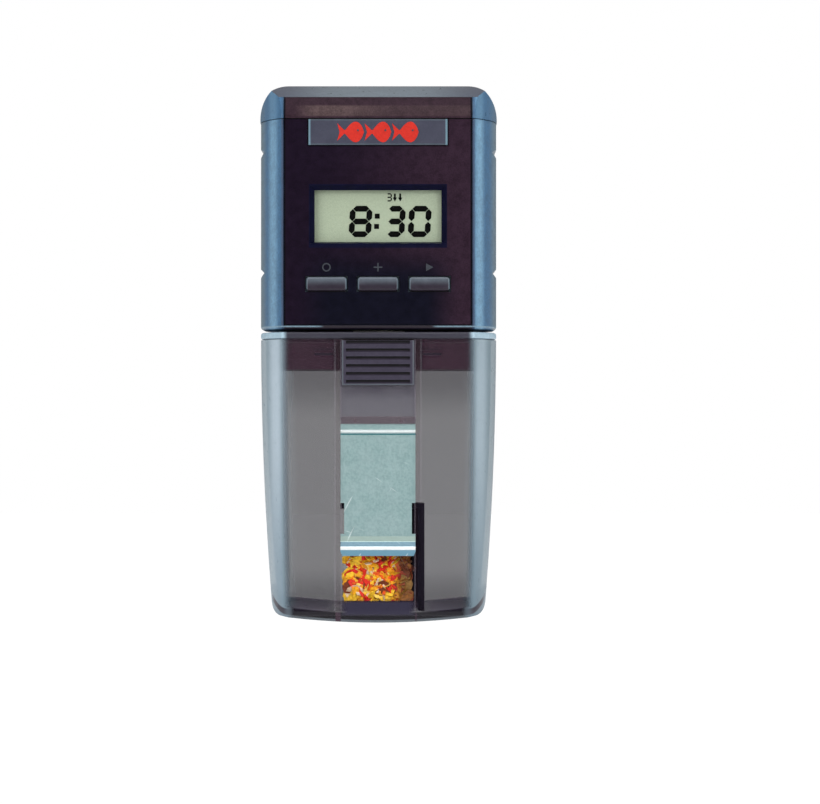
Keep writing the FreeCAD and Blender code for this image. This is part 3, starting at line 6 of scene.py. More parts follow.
import bmesh
import bpy
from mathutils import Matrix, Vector


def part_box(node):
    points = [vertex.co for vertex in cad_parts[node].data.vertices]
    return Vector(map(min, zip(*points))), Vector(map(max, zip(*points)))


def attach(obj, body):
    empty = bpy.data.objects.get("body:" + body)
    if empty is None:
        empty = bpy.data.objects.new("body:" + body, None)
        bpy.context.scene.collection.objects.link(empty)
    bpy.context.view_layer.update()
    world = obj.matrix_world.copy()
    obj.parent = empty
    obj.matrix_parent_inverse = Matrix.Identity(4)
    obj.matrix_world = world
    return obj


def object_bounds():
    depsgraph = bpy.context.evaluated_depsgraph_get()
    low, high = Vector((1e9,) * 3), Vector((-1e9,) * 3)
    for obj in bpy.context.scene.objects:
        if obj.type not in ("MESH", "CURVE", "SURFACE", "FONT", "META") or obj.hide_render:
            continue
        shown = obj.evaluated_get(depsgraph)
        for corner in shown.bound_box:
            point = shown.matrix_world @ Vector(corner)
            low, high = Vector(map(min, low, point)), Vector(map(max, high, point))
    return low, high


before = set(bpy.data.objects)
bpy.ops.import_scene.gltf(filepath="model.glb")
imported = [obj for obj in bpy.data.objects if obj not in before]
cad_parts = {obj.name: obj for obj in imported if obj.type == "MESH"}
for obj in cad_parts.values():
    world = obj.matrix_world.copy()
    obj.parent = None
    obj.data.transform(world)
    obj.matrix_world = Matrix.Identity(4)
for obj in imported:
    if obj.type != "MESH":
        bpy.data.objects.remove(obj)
cad_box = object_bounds()
MM = 0.001

# ---------------------------------------------------------------------------------------------------------
# Node helpers
# ---------------------------------------------------------------------------------------------------------


def feed(tree, value, socket):
    """Links a socket, or sets a plain value. A colour of three numbers becomes opaque."""
    if isinstance(value, bpy.types.NodeSocket):
        tree.links.new(value, socket)
    elif hasattr(value, "__len__") and len(value) == 3 and socket.type == "RGBA":
        socket.default_value = (*value, 1.0)
    else:
        socket.default_value = value


def put(tree, kind, *values, named=None, **settings):
    """Adds a node, makes its settings and fills its inputs in order, or by name."""
    made = tree.nodes.new(kind)
    for key, setting in settings.items():
        setattr(made, key, setting)
    for socket, value in zip(made.inputs, values):
        if value is not None:
            feed(tree, value, socket)
    for name, value in (named or {}).items():
        feed(tree, value, made.inputs[name])
    return made


def maths(tree, operation, *values, clamp=False):
    """The result of a Math node."""
    return put(tree, "ShaderNodeMath", *values, operation=operation, use_clamp=clamp).outputs[0]


def spread(tree, value, low, high, start=0.0, end=1.0, smooth=True):
    """The value's place between low and high, from start to end."""
    kind = "SMOOTHSTEP" if smooth else "LINEAR"
    return put(tree, "ShaderNodeMapRange", value, low, high, start, end, interpolation_type=kind).outputs[0]


def blend_colours(tree, share, first, second, kind="MIX"):
    """Mixes two colours by a share."""
    made = put(tree, "ShaderNodeMix", data_type="RGBA", blend_type=kind)
    feed(tree, share, made.inputs["Factor"])
    feed(tree, first, made.inputs[6])
    feed(tree, second, made.inputs[7])
    return made.outputs[2]


def band(tree, value, middle, half):
    """1 where the value is within half of the middle, with soft ends."""
    away = size_of(tree, minus(tree, value, middle))
    return spread(tree, away, 0.8 * half, 1.2 * half, 1.0, 0.0)


def overlap(tree, first, *others):
    """The product of several masks or values."""
    whole = first
    for value in others:
        whole = maths(tree, "MULTIPLY", whole, value)
    return whole


def size_of(tree, value):
    """The value without its sign."""
    return maths(tree, "ABSOLUTE", value)


def minus(tree, first, second):
    """The first value less the second."""
    return maths(tree, "SUBTRACT", first, second)


def tinted(tree, colour, level):
    """A colour made darker or lighter by a level."""
    tint = put(tree, "ShaderNodeCombineColor", level, level, level).outputs[0]
    return blend_colours(tree, 1.0, colour, tint, "MULTIPLY")


def object_place(tree):
    """The object coordinates."""
    return put(tree, "ShaderNodeTexCoord").outputs["Object"]


def place_of(tree):
    """The three parts of the object coordinates."""
    return put(tree, "ShaderNodeSeparateXYZ", object_place(tree)).outputs


def noise(tree, coordinates, scale, detail=3.0, roughness=0.55, stretch=None):
    """A noise between 0 and 1, stretched along the axes if asked."""
    if stretch:
        coordinates = put(tree, "ShaderNodeMapping", coordinates, named={"Scale": stretch}).outputs[0]
    named = {"Scale": scale, "Detail": detail, "Roughness": roughness}
    return put(tree, "ShaderNodeTexNoise", coordinates, named=named).outputs[0]


def new_group(name, inputs, outputs):
    """An empty shader group. Inputs are (name, kind, default) and outputs (name, kind)."""
    group = bpy.data.node_groups.new(name, "ShaderNodeTree")
    for label, kind, default in inputs:
        socket = group.interface.new_socket(label, in_out="INPUT", socket_type="NodeSocket" + kind)
        socket.default_value = default
    for label, kind in outputs:
        group.interface.new_socket(label, in_out="OUTPUT", socket_type="NodeSocket" + kind)
    return group, put(group, "NodeGroupInput"), put(group, "NodeGroupOutput")


def use_group(tree, group, **values):
    """Places a shader group. A value's name is the socket's, with _ for a space."""
    made = put(tree, "ShaderNodeGroup", node_tree=group)
    for name, value in values.items():
        feed(tree, value, made.inputs[name.replace("_", " ")])
    return made.outputs


def new_finish(name, **plain):
    """A material, its tree and its shader, with the shader's plain values set."""
    made = bpy.data.materials.new(name)
    made.use_nodes = True
    tree = made.node_tree
    shader = tree.nodes["Principled BSDF"]
    for label, value in plain.items():
        feed(tree, value, shader.inputs[label.replace("_", " ")])
    return made, tree, shader


def raise_surface(tree, shader, height, distance):
    """Feeds a bump made from a height to the shader."""
    made = put(tree, "ShaderNodeBump", named={"Height": height, "Distance": distance, "Strength": 1.0})
    feed(tree, made.outputs[0], shader.inputs["Normal"])


# ---------------------------------------------------------------------------------------------------------
# Effects that several finishes share
# ---------------------------------------------------------------------------------------------------------

DRUM_LOW, DRUM_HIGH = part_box("drum_shell")
SCOOP_LOW, SCOOP_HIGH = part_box("dosing_scoop")
RIM_Z = DRUM_HIGH.z
DRUM_HEIGHT = RIM_Z - DRUM_LOW.z
FRONT_Y = DRUM_LOW.y
CREASE_X = 28.2 * MM  # where the flat front meets the flanks
TAPER = 3.7 * MM  # each side of the drum narrows by this much towards its lower end
RAIL = 12.9 * MM  # outer edge of the slide rails, from the middle
SCOOP_WALL_X = 13.1 * MM  # the dosing wall that shows through the drum
FINE_BUMP = 0.02 * MM  # depth of the moulded grain
DRAWN_BUMP = 0.006 * MM  # depth of the drawn lines
RIDGE_PITCH = 2.35 * MM  # between the thumb grip's ridges


def make_grain_group():
    """Fine moulded grain over slow mottling."""
    group, enter, leave = new_group(
        "moulded grain",
        [("Color", "Color", (0.5, 0.5, 0.5, 1)), ("Mottle", "Float", 0.2), ("Size", "Float", 1500.0),
         ("Smooth", "Float", 0.25), ("Rough", "Float", 0.45)],
        [("Color", "Color"), ("Roughness", "Float"), ("Height", "Float")],
    )
    coordinates = object_place(group)
    grain = noise(group, coordinates, enter.outputs["Size"], 2.0)
    cloud = noise(group, coordinates, 420.0, 4.0, 0.7)
    both = maths(group, "ADD", maths(group, "MULTIPLY", grain, 0.45), maths(group, "MULTIPLY", cloud, 0.55))
    shade = spread(group, both, 0.32, 0.68, 0.0, 1.0)
    low = minus(group, 1.0, enter.outputs["Mottle"])
    high = maths(group, "ADD", 1.0, enter.outputs["Mottle"])
    level = spread(group, shade, 0.0, 1.0, low, high, smooth=False)
    rough = spread(group, cloud, 0.3, 0.7, enter.outputs["Smooth"], enter.outputs["Rough"], smooth=False)
    feed(group, tinted(group, enter.outputs["Color"], level), leave.inputs["Color"])
    feed(group, rough, leave.inputs["Roughness"])
    feed(group, grain, leave.inputs["Height"])
    return group


def make_flank_group():
    """1 on the curved flanks of the shared barrel section and 0 on its flat front and rear."""
    group, enter, leave = new_group(
        "flank zone",
        [("Half Width", "Float", CREASE_X), ("Narrowing", "Float", 0.0), ("Softness", "Float", 0.0003)],
        [("Flank", "Float"), ("Along", "Float")],
    )
    x, y, z = place_of(group)
    along = maths(group, "DIVIDE", minus(group, RIM_Z, z), DRUM_HEIGHT, clamp=True)
    narrowed = overlap(group, along, along, TAPER, enter.outputs["Narrowing"])
    past = minus(group, size_of(group, x), minus(group, enter.outputs["Half Width"], narrowed))
    softness = enter.outputs["Softness"]
    flank = spread(group, past, maths(group, "MULTIPLY", softness, -1.0), softness)
    feed(group, flank, leave.inputs["Flank"])
    feed(group, along, leave.inputs["Along"])
    return group


def make_scratch_group():
    """Fine drawn lines along Z and a few stray scratches."""
    group, enter, leave = new_group(
        "drawn sheet",
        [("Lines", "Float", 0.5), ("Scratches", "Float", 0.5)],
        [("Height", "Float"), ("Mark", "Float")],
    )
    coordinates = object_place(group)
    lines = noise(group, coordinates, 900.0, 2.0, 0.6, stretch=(4.0, 4.0, 0.06))
    marks = []
    for turn in (0.95, -0.5, 1.3):
        named = {"Rotation": (0.0, turn, 0.0)}
        turned = put(group, "ShaderNodeMapping", coordinates, named=named).outputs[0]
        field = noise(group, turned, 900.0 + 90 * turn, 1.0, 0.4, stretch=(1.0, 0.3, 0.09))
        marks.append(spread(group, field, 0.75, 0.79))
    mark = maths(group, "MAXIMUM", maths(group, "MAXIMUM", marks[0], marks[1]), marks[2])
    mark = maths(group, "MULTIPLY", mark, enter.outputs["Scratches"])
    height = minus(group, maths(group, "MULTIPLY", lines, enter.outputs["Lines"]), mark)
    feed(group, height, leave.inputs["Height"])
    feed(group, mark, leave.inputs["Mark"])
    return group


GRAIN = make_grain_group()
FLANK = make_flank_group()
DRAWN = make_scratch_group()

# ---------------------------------------------------------------------------------------------------------
# Finishes
# ---------------------------------------------------------------------------------------------------------


def coat(tree, shader, colour, mottle, size, smooth, rough, bump):
    """Gives a shader its colour, gloss and relief from the moulded grain."""
    grain = use_group(tree, GRAIN, Color=colour, Mottle=mottle, Size=size, Smooth=smooth, Rough=rough)
    feed(tree, grain["Color"], shader.inputs["Base Color"])
    feed(tree, grain["Roughness"], shader.inputs["Roughness"])
    raise_surface(tree, shader, grain["Height"], bump)


def grained(name, colour, mottle, smooth, rough, bump=FINE_BUMP, **plain):
    """A moulded plastic of one colour with fine grain."""
    made, tree, shader = new_finish(name, **plain)
    coat(tree, shader, colour, mottle, 1500.0, smooth, rough, bump)
    return made


BLUE = (0.036, 0.108, 0.204)
# The next three colours are painted light on the blue flanks: a painted highlight streak, a paler painted
# reflection at the outer edges and painted shade in the crease beside the panel.
HIGHLIGHT_BLUE = (0.142, 0.275, 0.40)
EDGE_REFLECTION_BLUE = (0.10, 0.155, 0.20)
CREASE_SHADE_BLUE = (0.014, 0.035, 0.08)
PANEL = (0.0055, 0.0018, 0.0085)
# Where the painted highlight streak runs down each flank.
STREAK_X = 31.0 * MM


def shaded_blue(tree, x):
    """Steel blue with painted light: a soft painted highlight streak down each flank, a greyer painted
    reflection at the sides and painted shade beside the panel.
    """
    aside = size_of(tree, x)
    off_streak = size_of(tree, minus(tree, size_of(tree, maths(tree, "ADD", x, 0.6 * MM)), STREAK_X))
    streak = spread(tree, off_streak, 0.3 * MM, 2.1 * MM, 1.0, 0.0)
    streak = overlap(tree, streak, spread(tree, x, -2 * MM, 2 * MM, 0.85, 1.0))
    colour = blend_colours(tree, streak, BLUE, HIGHLIGHT_BLUE)
    colour = blend_colours(tree, spread(tree, aside, 33.4 * MM, 35.4 * MM), colour, EDGE_REFLECTION_BLUE)
    return blend_colours(tree, spread(tree, aside, 28.7 * MM, 29.3 * MM, 1.0, 0.0), colour, CREASE_SHADE_BLUE)


def housing_finish():
    """Steel-blue shell with the flanks' painted light, a rim as dark as the fascia and a painted highlight
    as a thin pale line along its lower edge.
    """
    made, tree, shader = new_finish("steel blue shell", Specular_IOR_Level=0.4)
    x, y, z = place_of(tree)
    flank = use_group(tree, FLANK)["Flank"]
    front = spread(tree, y, -57.4 * MM, -57.0 * MM, 1.0, 0.0)
    dark = overlap(tree, front, minus(tree, 1.0, flank))
    colour = blend_colours(tree, dark, shaded_blue(tree, x), PANEL)
    # Painted highlight: a thin pale line along the lower edge, away from the middle.
    hem = band(tree, z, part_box("housing_shell")[0].z + 0.75 * MM, 0.22 * MM)
    hem = overlap(tree, hem, spread(tree, size_of(tree, x), 16 * MM, 18 * MM), 0.7)
    colour = blend_colours(tree, hem, colour, (0.16, 0.26, 0.33))
    coat(tree, shader, colour, 0.2, 1400.0, 0.32, 0.5, 0.03 * MM)
    return made


def cap_finish():
    """Steel-blue cap: painted light makes its upward-facing roof a paler grey, palest in the middle, and the
    flanks carry the blue's painted light; dark where the front panel covers it.
    """
    made, tree, shader = new_finish("steel blue cap", Specular_IOR_Level=0.4)
    x, y, z = place_of(tree)
    flank = use_group(tree, FLANK)["Flank"]
    normal = put(tree, "ShaderNodeNewGeometry").outputs["Normal"]
    upward = put(tree, "ShaderNodeSeparateXYZ", normal).outputs[2]
    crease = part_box("cap_visor")[1].z
    # Painted light: the upward-facing roof above the crease is painted paler, most of all in the middle.
    roof = overlap(tree, spread(tree, upward, 0.42, 0.62), spread(tree, z, crease, crease + 0.1 * MM))
    middle = spread(tree, size_of(tree, x), 10 * MM, 32 * MM)
    pale = blend_colours(tree, middle, (0.125, 0.15, 0.175), (0.062, 0.07, 0.095))
    colour = blend_colours(tree, 0.55, shaded_blue(tree, x), BLUE)
    blue = maths(tree, "MAXIMUM", flank, spread(tree, y, -40 * MM, -38 * MM))
    colour = blend_colours(tree, blue, (0.03, 0.028, 0.038), colour)
    colour = blend_colours(tree, roof, colour, pale)
    coat(tree, shader, colour, 0.12, 1400.0, 0.25, 0.42, 0.02 * MM)
    return made


def panel_finish():
    """Dark smoky panel with painted light: a painted dark reflection low in the middle, painted light making
    it a little warmer to the right, a lighter visor with a painted highlight, painted shade in the side
    gaps, and navy round the display.
    """
    made, tree, shader = new_finish("smoked panel", Specular_IOR_Level=0.09)
    x, y, z = place_of(tree)
    aside = size_of(tree, x)
    # Painted light: a little lighter and warmer towards the right.
    right = spread(tree, x, -20 * MM, 27 * MM)
    colour = blend_colours(tree, right, PANEL, (0.020, 0.009, 0.018))
    # Painted dark reflection: deeper low in the middle.
    across = spread(tree, aside, 14 * MM, 26 * MM, 1.0, 0.0)
    down = spread(tree, z, -5 * MM, -17 * MM)
    colour = blend_colours(tree, overlap(tree, across, down), colour, (0.0015, 0.0015, 0.007))

    visor_low, visor_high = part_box("cap_visor")
    # The visor is painted a little lighter as painted light on its backward tilt, with a painted highlight
    # band low across it from the left.
    visor = spread(tree, z, visor_low.z - 0.1 * MM, visor_low.z)
    starts = spread(tree, x, -26 * MM, -18 * MM)
    fades = spread(tree, x, -14 * MM, 8 * MM, 1.0, 0.35)
    visor_highlight = overlap(tree, band(tree, z, visor_low.z + 2.2 * MM, 1.6 * MM), starts, fades, visor)
    colour = blend_colours(tree, visor, colour, (0.026, 0.013, 0.020))
    colour = blend_colours(tree, visor_highlight, colour, (0.065, 0.042, 0.044))
    # Painted shade of the gaps along the panel's side edges.
    rim = spread(tree, aside, visor_high.x - 0.5 * MM, visor_high.x - 0.2 * MM)
    colour = blend_colours(tree, rim, colour, (0.0015, 0.001, 0.004))

    low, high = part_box("lcd_glass")
    beside = minus(tree, aside, high.x - 0.5 * MM)
    above = minus(tree, size_of(tree, minus(tree, z, (low.z + high.z) / 2)), 9.4 * MM)
    outside = maths(tree, "MAXIMUM", beside, above)
    sunk = spread(tree, y, cad_box[0].y + 0.55 * MM, cad_box[0].y + 0.75 * MM)
    frame_zone = overlap(tree, spread(tree, outside, 0.0, 0.3 * MM, 1.0, 0.0), sunk)
    colour = blend_colours(tree, frame_zone, colour, (0.0015, 0.0018, 0.014))
    coat(tree, shader, colour, 0.3, 2400.0, 0.3, 0.42, 0.012 * MM)
    return made


def badge_finish():
    """Slate badge with painted highlights on its pale bevelled ends and thin pale edges."""
    made, tree, shader = new_finish("slate badge", Specular_IOR_Level=0.3)
    low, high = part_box("badge_plate")
    x, y, z = place_of(tree)
    # Painted highlights on the bevelled ends and along the upper and lower edges.
    end = spread(tree, size_of(tree, x), high.x - 0.75 * MM, high.x - 0.45 * MM)
    upper = spread(tree, z, high.z - 0.5 * MM, high.z - 0.3 * MM)
    rim = maths(tree, "MAXIMUM", upper, spread(tree, z, low.z + 0.5 * MM, low.z + 0.3 * MM))
    colour = blend_colours(tree, rim, (0.038, 0.040, 0.062), (0.055, 0.07, 0.09))
    colour = blend_colours(tree, end, colour, (0.12, 0.20, 0.25))
    coat(tree, shader, colour, 0.1, 1800.0, 0.28, 0.4, 0.01 * MM)
    return made


def display_finish():
    """Pale liquid crystal glass, darker where the frame shades it."""
    made, tree, shader = new_finish("liquid crystal glass", Roughness=0.4, Specular_IOR_Level=0.2)
    low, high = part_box("lcd_glass")
    coordinates = object_place(tree)
    x, y, z = place_of(tree)
    left = spread(tree, x, low.x + 2 * MM, low.x + 6 * MM, 0.25, 0.0)
    top = spread(tree, z, high.z - 4.2 * MM, high.z - 1.8 * MM, 0.0, 0.35)
    shade = maths(tree, "ADD", left, top, clamp=True)
    colour = blend_colours(tree, shade, (0.35, 0.41, 0.30), (0.18, 0.22, 0.16))
    speckle = noise(tree, coordinates, 3000.0, 2.0)
    colour = tinted(tree, colour, spread(tree, speckle, 0.3, 0.7, 0.94, 1.05))
    feed(tree, colour, shader.inputs["Base Color"])
    return made


def window_finish():
    """Clear display window with faint smudges."""
    plain = {"Base_Color": (0.01, 0.012, 0.01), "Alpha": 0.03, "Specular_IOR_Level": 0.12}
    made, tree, shader = new_finish("clear window", **plain)
    coordinates = object_place(tree)
    smudge = noise(tree, coordinates, 90.0, 4.0)
    feed(tree, spread(tree, smudge, 0.4, 0.7, 0.04, 0.16), shader.inputs["Roughness"])
    return made


def button_finish():
    """Satin slate buttons with painted light: a painted highlight along the top and the ends, painted shade
    below.
    """
    made, tree, shader = new_finish("slate button", Specular_IOR_Level=0.45)
    low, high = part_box("button_left")
    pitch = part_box("button_right")[0].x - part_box("button_middle")[0].x
    x, y, z = place_of(tree)
    middle = (low.z + high.z) / 2
    # Painted light from above: pale at the top, dark below.
    rise = spread(tree, z, middle - 0.8 * MM, middle + 2.1 * MM)
    colour = blend_colours(tree, rise, (0.011, 0.006, 0.016), (0.085, 0.105, 0.13))
    # Painted highlight on the rounded ends.
    from_centre = maths(tree, "PINGPONG", size_of(tree, x), pitch / 2)
    end = spread(tree, from_centre, 5.5 * MM, 6.0 * MM)
    colour = blend_colours(tree, overlap(tree, end, 0.8), colour, (0.10, 0.15, 0.19))
    coat(tree, shader, colour, 0.12, 1800.0, 0.28, 0.4, 0.01 * MM)
    return made


def flank_painted_light(tree, x, along):
    """Pale painted light on the drum's clear flanks: brightest in a painted highlight streak, greyer outside
    it and below, and darker on the right as painted shade.
    """
    aside = maths(tree, "ADD", size_of(tree, x), overlap(tree, along, 0.8 * MM))
    off_streak = size_of(tree, minus(tree, aside, 31.1 * MM))
    streak = spread(tree, off_streak, 0.4 * MM, 2.8 * MM, 1.0, 0.0)
    flank_light = blend_colours(tree, streak, (0.29, 0.38, 0.44), (0.50, 0.60, 0.68))
    low = spread(tree, along, 0.3, 0.95, 0.0, 0.85)
    flank_light = blend_colours(tree, low, flank_light, (0.23, 0.33, 0.405))
    right = spread(tree, x, -5 * MM, 5 * MM)
    return blend_colours(tree, right, flank_light, (0.77, 0.80, 0.80), "MULTIPLY")


def height_above_sole(tree, x, z):
    """The height above the drum's lower edge, which bows down in the middle and turns up at its corners."""
    floor_half, bow = 28.6 * MM, 1.8 * MM
    corner_start, corner_turn = 28 * MM, 5.5 * MM
    across = maths(tree, "DIVIDE", x, floor_half)
    sag = overlap(tree, across, across, bow)
    past = maths(tree, "MAXIMUM", minus(tree, size_of(tree, x), corner_start), 0.0)
    corner = maths(tree, "DIVIDE", overlap(tree, past, past), corner_turn)
    return minus(tree, minus(tree, minus(tree, z, DRUM_LOW.z), sag), corner)


def channel_masks(tree, x, z, front, above):
    """Where the channel's rails, the painted highlights along their edges as thin pale lines and the bar
    under the outlet show on the drum.
    """
    aside = size_of(tree, x)
    scoop_wall = band(tree, x, SCOOP_WALL_X, 1.5 * MM)
    scoop_wall = overlap(tree, scoop_wall, spread(tree, z, SCOOP_HIGH.z + 0.5 * MM, SCOOP_HIGH.z))
    clear = overlap(tree, front, minus(tree, 1.0, scoop_wall))
    rail = overlap(tree, band(tree, aside, RAIL - 0.9 * MM, 0.8 * MM), clear)
    # The thin lines along the rail edges are painted highlights.
    inner, outer = (band(tree, aside, place, 0.12 * MM) for place in (RAIL - 1.8 * MM, RAIL))
    lines = maths(tree, "MAXIMUM", inner, outer)
    lines = overlap(tree, lines, clear, spread(tree, above, 3.0 * MM, 3.3 * MM))
    bar = band(tree, z, SCOOP_LOW.z + 0.9 * MM, 2.1 * MM)
    bar = overlap(tree, bar, band(tree, x, 0.0, 10.9 * MM), front)
    return rail, lines, bar


def drum_finish():
    """Smoky clear drum: a clearer front, a denser rear wall, flanks made pale by painted light and a dark
    lower edge.
    """
    made, tree, shader = new_finish("smoked drum", Specular_IOR_Level=0.15)
    x, y, z = place_of(tree)
    zone = use_group(tree, FLANK, Half_Width=28.0 * MM, Narrowing=0.3, Softness=1.9 * MM)
    flank, along = zone["Flank"], zone["Along"]
    front = spread(tree, y, FRONT_Y + 3.6 * MM, FRONT_Y + 4.0 * MM, 1.0, 0.0)
    rear = spread(tree, y, -24 * MM, -16 * MM)
    under_rim = spread(tree, along, 0.13, 0.30, 1.0, 0.0)
    murky = maths(tree, "MAXIMUM", under_rim, spread(tree, along, 0.82, 0.96))
    deep = blend_colours(tree, murky, (0.10, 0.105, 0.13), (0.075, 0.072, 0.105))
    smoke = blend_colours(tree, rear, (0.030, 0.022, 0.040), deep)

    above = height_above_sole(tree, x, z)
    sole = spread(tree, above, 2.7 * MM, 3.3 * MM, 1.0, 0.0)
    hem = spread(tree, above, 0.6 * MM, 0.9 * MM, 1.0, 0.0)
    rail, lines, bar = channel_masks(tree, x, z, front, above)
    layers = (
        (overlap(tree, sole, minus(tree, 1.0, front)), (0.28, 0.245, 0.32)),
        (overlap(tree, sole, front), (0.003, 0.001, 0.006)),
        (hem, (0.12, 0.14, 0.16)),
        (rail, (0.05, 0.025, 0.042)),
        # Painted highlights along the rail edges.
        (lines, (0.26, 0.23, 0.28)),
        (bar, (0.026, 0.023, 0.044)),
        # The flanks' pale colour is painted light.
        (flank, flank_painted_light(tree, x, along)),
    )
    colour = smoke
    for mask, tone in layers:
        colour = blend_colours(tree, mask, colour, tone)
    edge = overlap(tree, flank, spread(tree, above, 2.2 * MM, 3.0 * MM, 1.0, 0.0))
    edge = overlap(tree, edge, spread(tree, above, 0.5 * MM, 0.9 * MM, 0.35, 1.0))
    edge = overlap(tree, edge, spread(tree, y, -48 * MM, -40 * MM, 1.0, 0.0))
    colour = blend_colours(tree, edge, colour, (0.02, 0.014, 0.03))

    dense = maths(tree, "ADD", spread(tree, rear, 0.0, 1.0, 0.10, 0.535), overlap(tree, rear, murky, 0.10))
    for mask, share in ((sole, 0.88), (hem, 0.6), (flank, 0.66), (bar, 0.95), (rail, 0.14), (lines, 0.22)):
        dense = maths(tree, "MAXIMUM", dense, overlap(tree, mask, share))
    feed(tree, dense, shader.inputs["Alpha"])
    coat(tree, shader, colour, 0.03, 1300.0, 0.26, 0.36, 0.004 * MM)
    return made


def carrier_finish():
    """Dark red-brown smoke, paler and greyer at the collar, with painted light making the collar's flanks
    pale blue, and dark stiffening ribs.
    """
    made, tree, shader = new_finish("smoked carrier", Specular_IOR_Level=0.35)
    x, y, z = place_of(tree)
    aside = size_of(tree, x)
    flank = use_group(tree, FLANK, Half_Width=27.9 * MM, Softness=0.9 * MM)["Flank"]
    collar = spread(tree, z, RIM_Z - 0.1 * MM, RIM_Z + 0.3 * MM)
    colour = blend_colours(tree, collar, (0.042, 0.009, 0.024), (0.026, 0.025, 0.040))
    rib_place = band(tree, aside, 16.3 * MM, 3.1 * MM)
    upper = overlap(tree, band(tree, z, RIM_Z - 2.9 * MM, 0.22 * MM), 0.8)
    ribs = maths(tree, "MAXIMUM", upper, band(tree, z, RIM_Z - 4.4 * MM, 0.3 * MM))
    ribs = overlap(tree, ribs, rib_place)
    colour = blend_colours(tree, ribs, colour, (0.006, 0.002, 0.008))
    # Painted light on the collar's curved flanks.
    colour = blend_colours(tree, overlap(tree, flank, collar), colour, (0.35, 0.49, 0.58))
    dense = maths(tree, "MAXIMUM", spread(tree, collar, 0.0, 1.0, 0.5, 0.92), ribs)
    feed(tree, dense, shader.inputs["Alpha"])
    coat(tree, shader, colour, 0.1, 1500.0, 0.3, 0.42, 0.01 * MM)
    return made


def grip_finish():
    """Satin grey grip with a painted highlight as a thin pale outline and painted shade in its grooves."""
    made, tree, shader = new_finish("thumb grip", Specular_IOR_Level=0.3)
    low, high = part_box("thumb_grip")
    x, y, z = place_of(tree)
    aside = size_of(tree, x)
    # Painted highlight along the side and lower edges.
    edge = spread(tree, aside, high.x - 0.42 * MM, high.x - 0.28 * MM)
    under = spread(tree, z, low.z + 0.42 * MM, low.z + 0.28 * MM)
    pale = maths(tree, "MAXIMUM", edge, under)
    deep = spread(tree, y, low.y + 0.25 * MM, low.y + 0.55 * MM)
    inside = overlap(tree, deep, spread(tree, aside, high.x - 1.3 * MM, high.x - 1.0 * MM, 1.0, 0.0))
    colour = blend_colours(tree, pale, (0.033, 0.028, 0.047), (0.085, 0.10, 0.12))
    # Painted shade in the grooves: black along the upper part of each, dark grey below.
    turn = maths(tree, "FRACT", maths(tree, "DIVIDE", minus(tree, z, low.z + 0.55 * MM), RIDGE_PITCH))
    slope = spread(tree, turn, 0.10, 0.22, 1.0, 0.0)
    groove_shade = blend_colours(tree, slope, (0.0012, 0.0008, 0.003), (0.022, 0.016, 0.031))
    colour = blend_colours(tree, inside, colour, groove_shade)
    coat(tree, shader, colour, 0.12, 1600.0, 0.3, 0.42, 0.01 * MM)
    return made


def strip_finish():
    """Smoky slider strip with a painted shadow under the grip, and a pinkish overlap at its lower end."""
    made, tree, shader = new_finish("smoked strip", Specular_IOR_Level=0.4)
    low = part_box("slider_strip")[0]
    under_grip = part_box("thumb_grip")[0].z
    coordinates = object_place(tree)
    x, y, z = place_of(tree)
    cloud = noise(tree, coordinates, 240.0, 3.0)
    # Painted shadow under the grip, made patchy by a cloud.
    shade = spread(tree, z, under_grip - 5.5 * MM, under_grip)
    shade = overlap(tree, shade, spread(tree, cloud, 0.35, 0.6, 0.6, 1.0))
    colour = blend_colours(tree, shade, (0.12, 0.115, 0.14), (0.055, 0.048, 0.075))
    lap = spread(tree, z, low.z + 2.1 * MM, low.z + 2.4 * MM, 1.0, 0.0)
    colour = blend_colours(tree, lap, colour, (0.115, 0.085, 0.105))
    shader.inputs["Alpha"].default_value = 0.55
    coat(tree, shader, colour, 0.06, 1600.0, 0.25, 0.38, 0.006 * MM)
    return made


def scoop_finish():
    """Near-black scoop with hardly any gloss."""
    return grained("dark scoop", (0.0008, 0.0004, 0.003), 0.1, 0.5, 0.6, 0.008 * MM, Specular_IOR_Level=0.05)


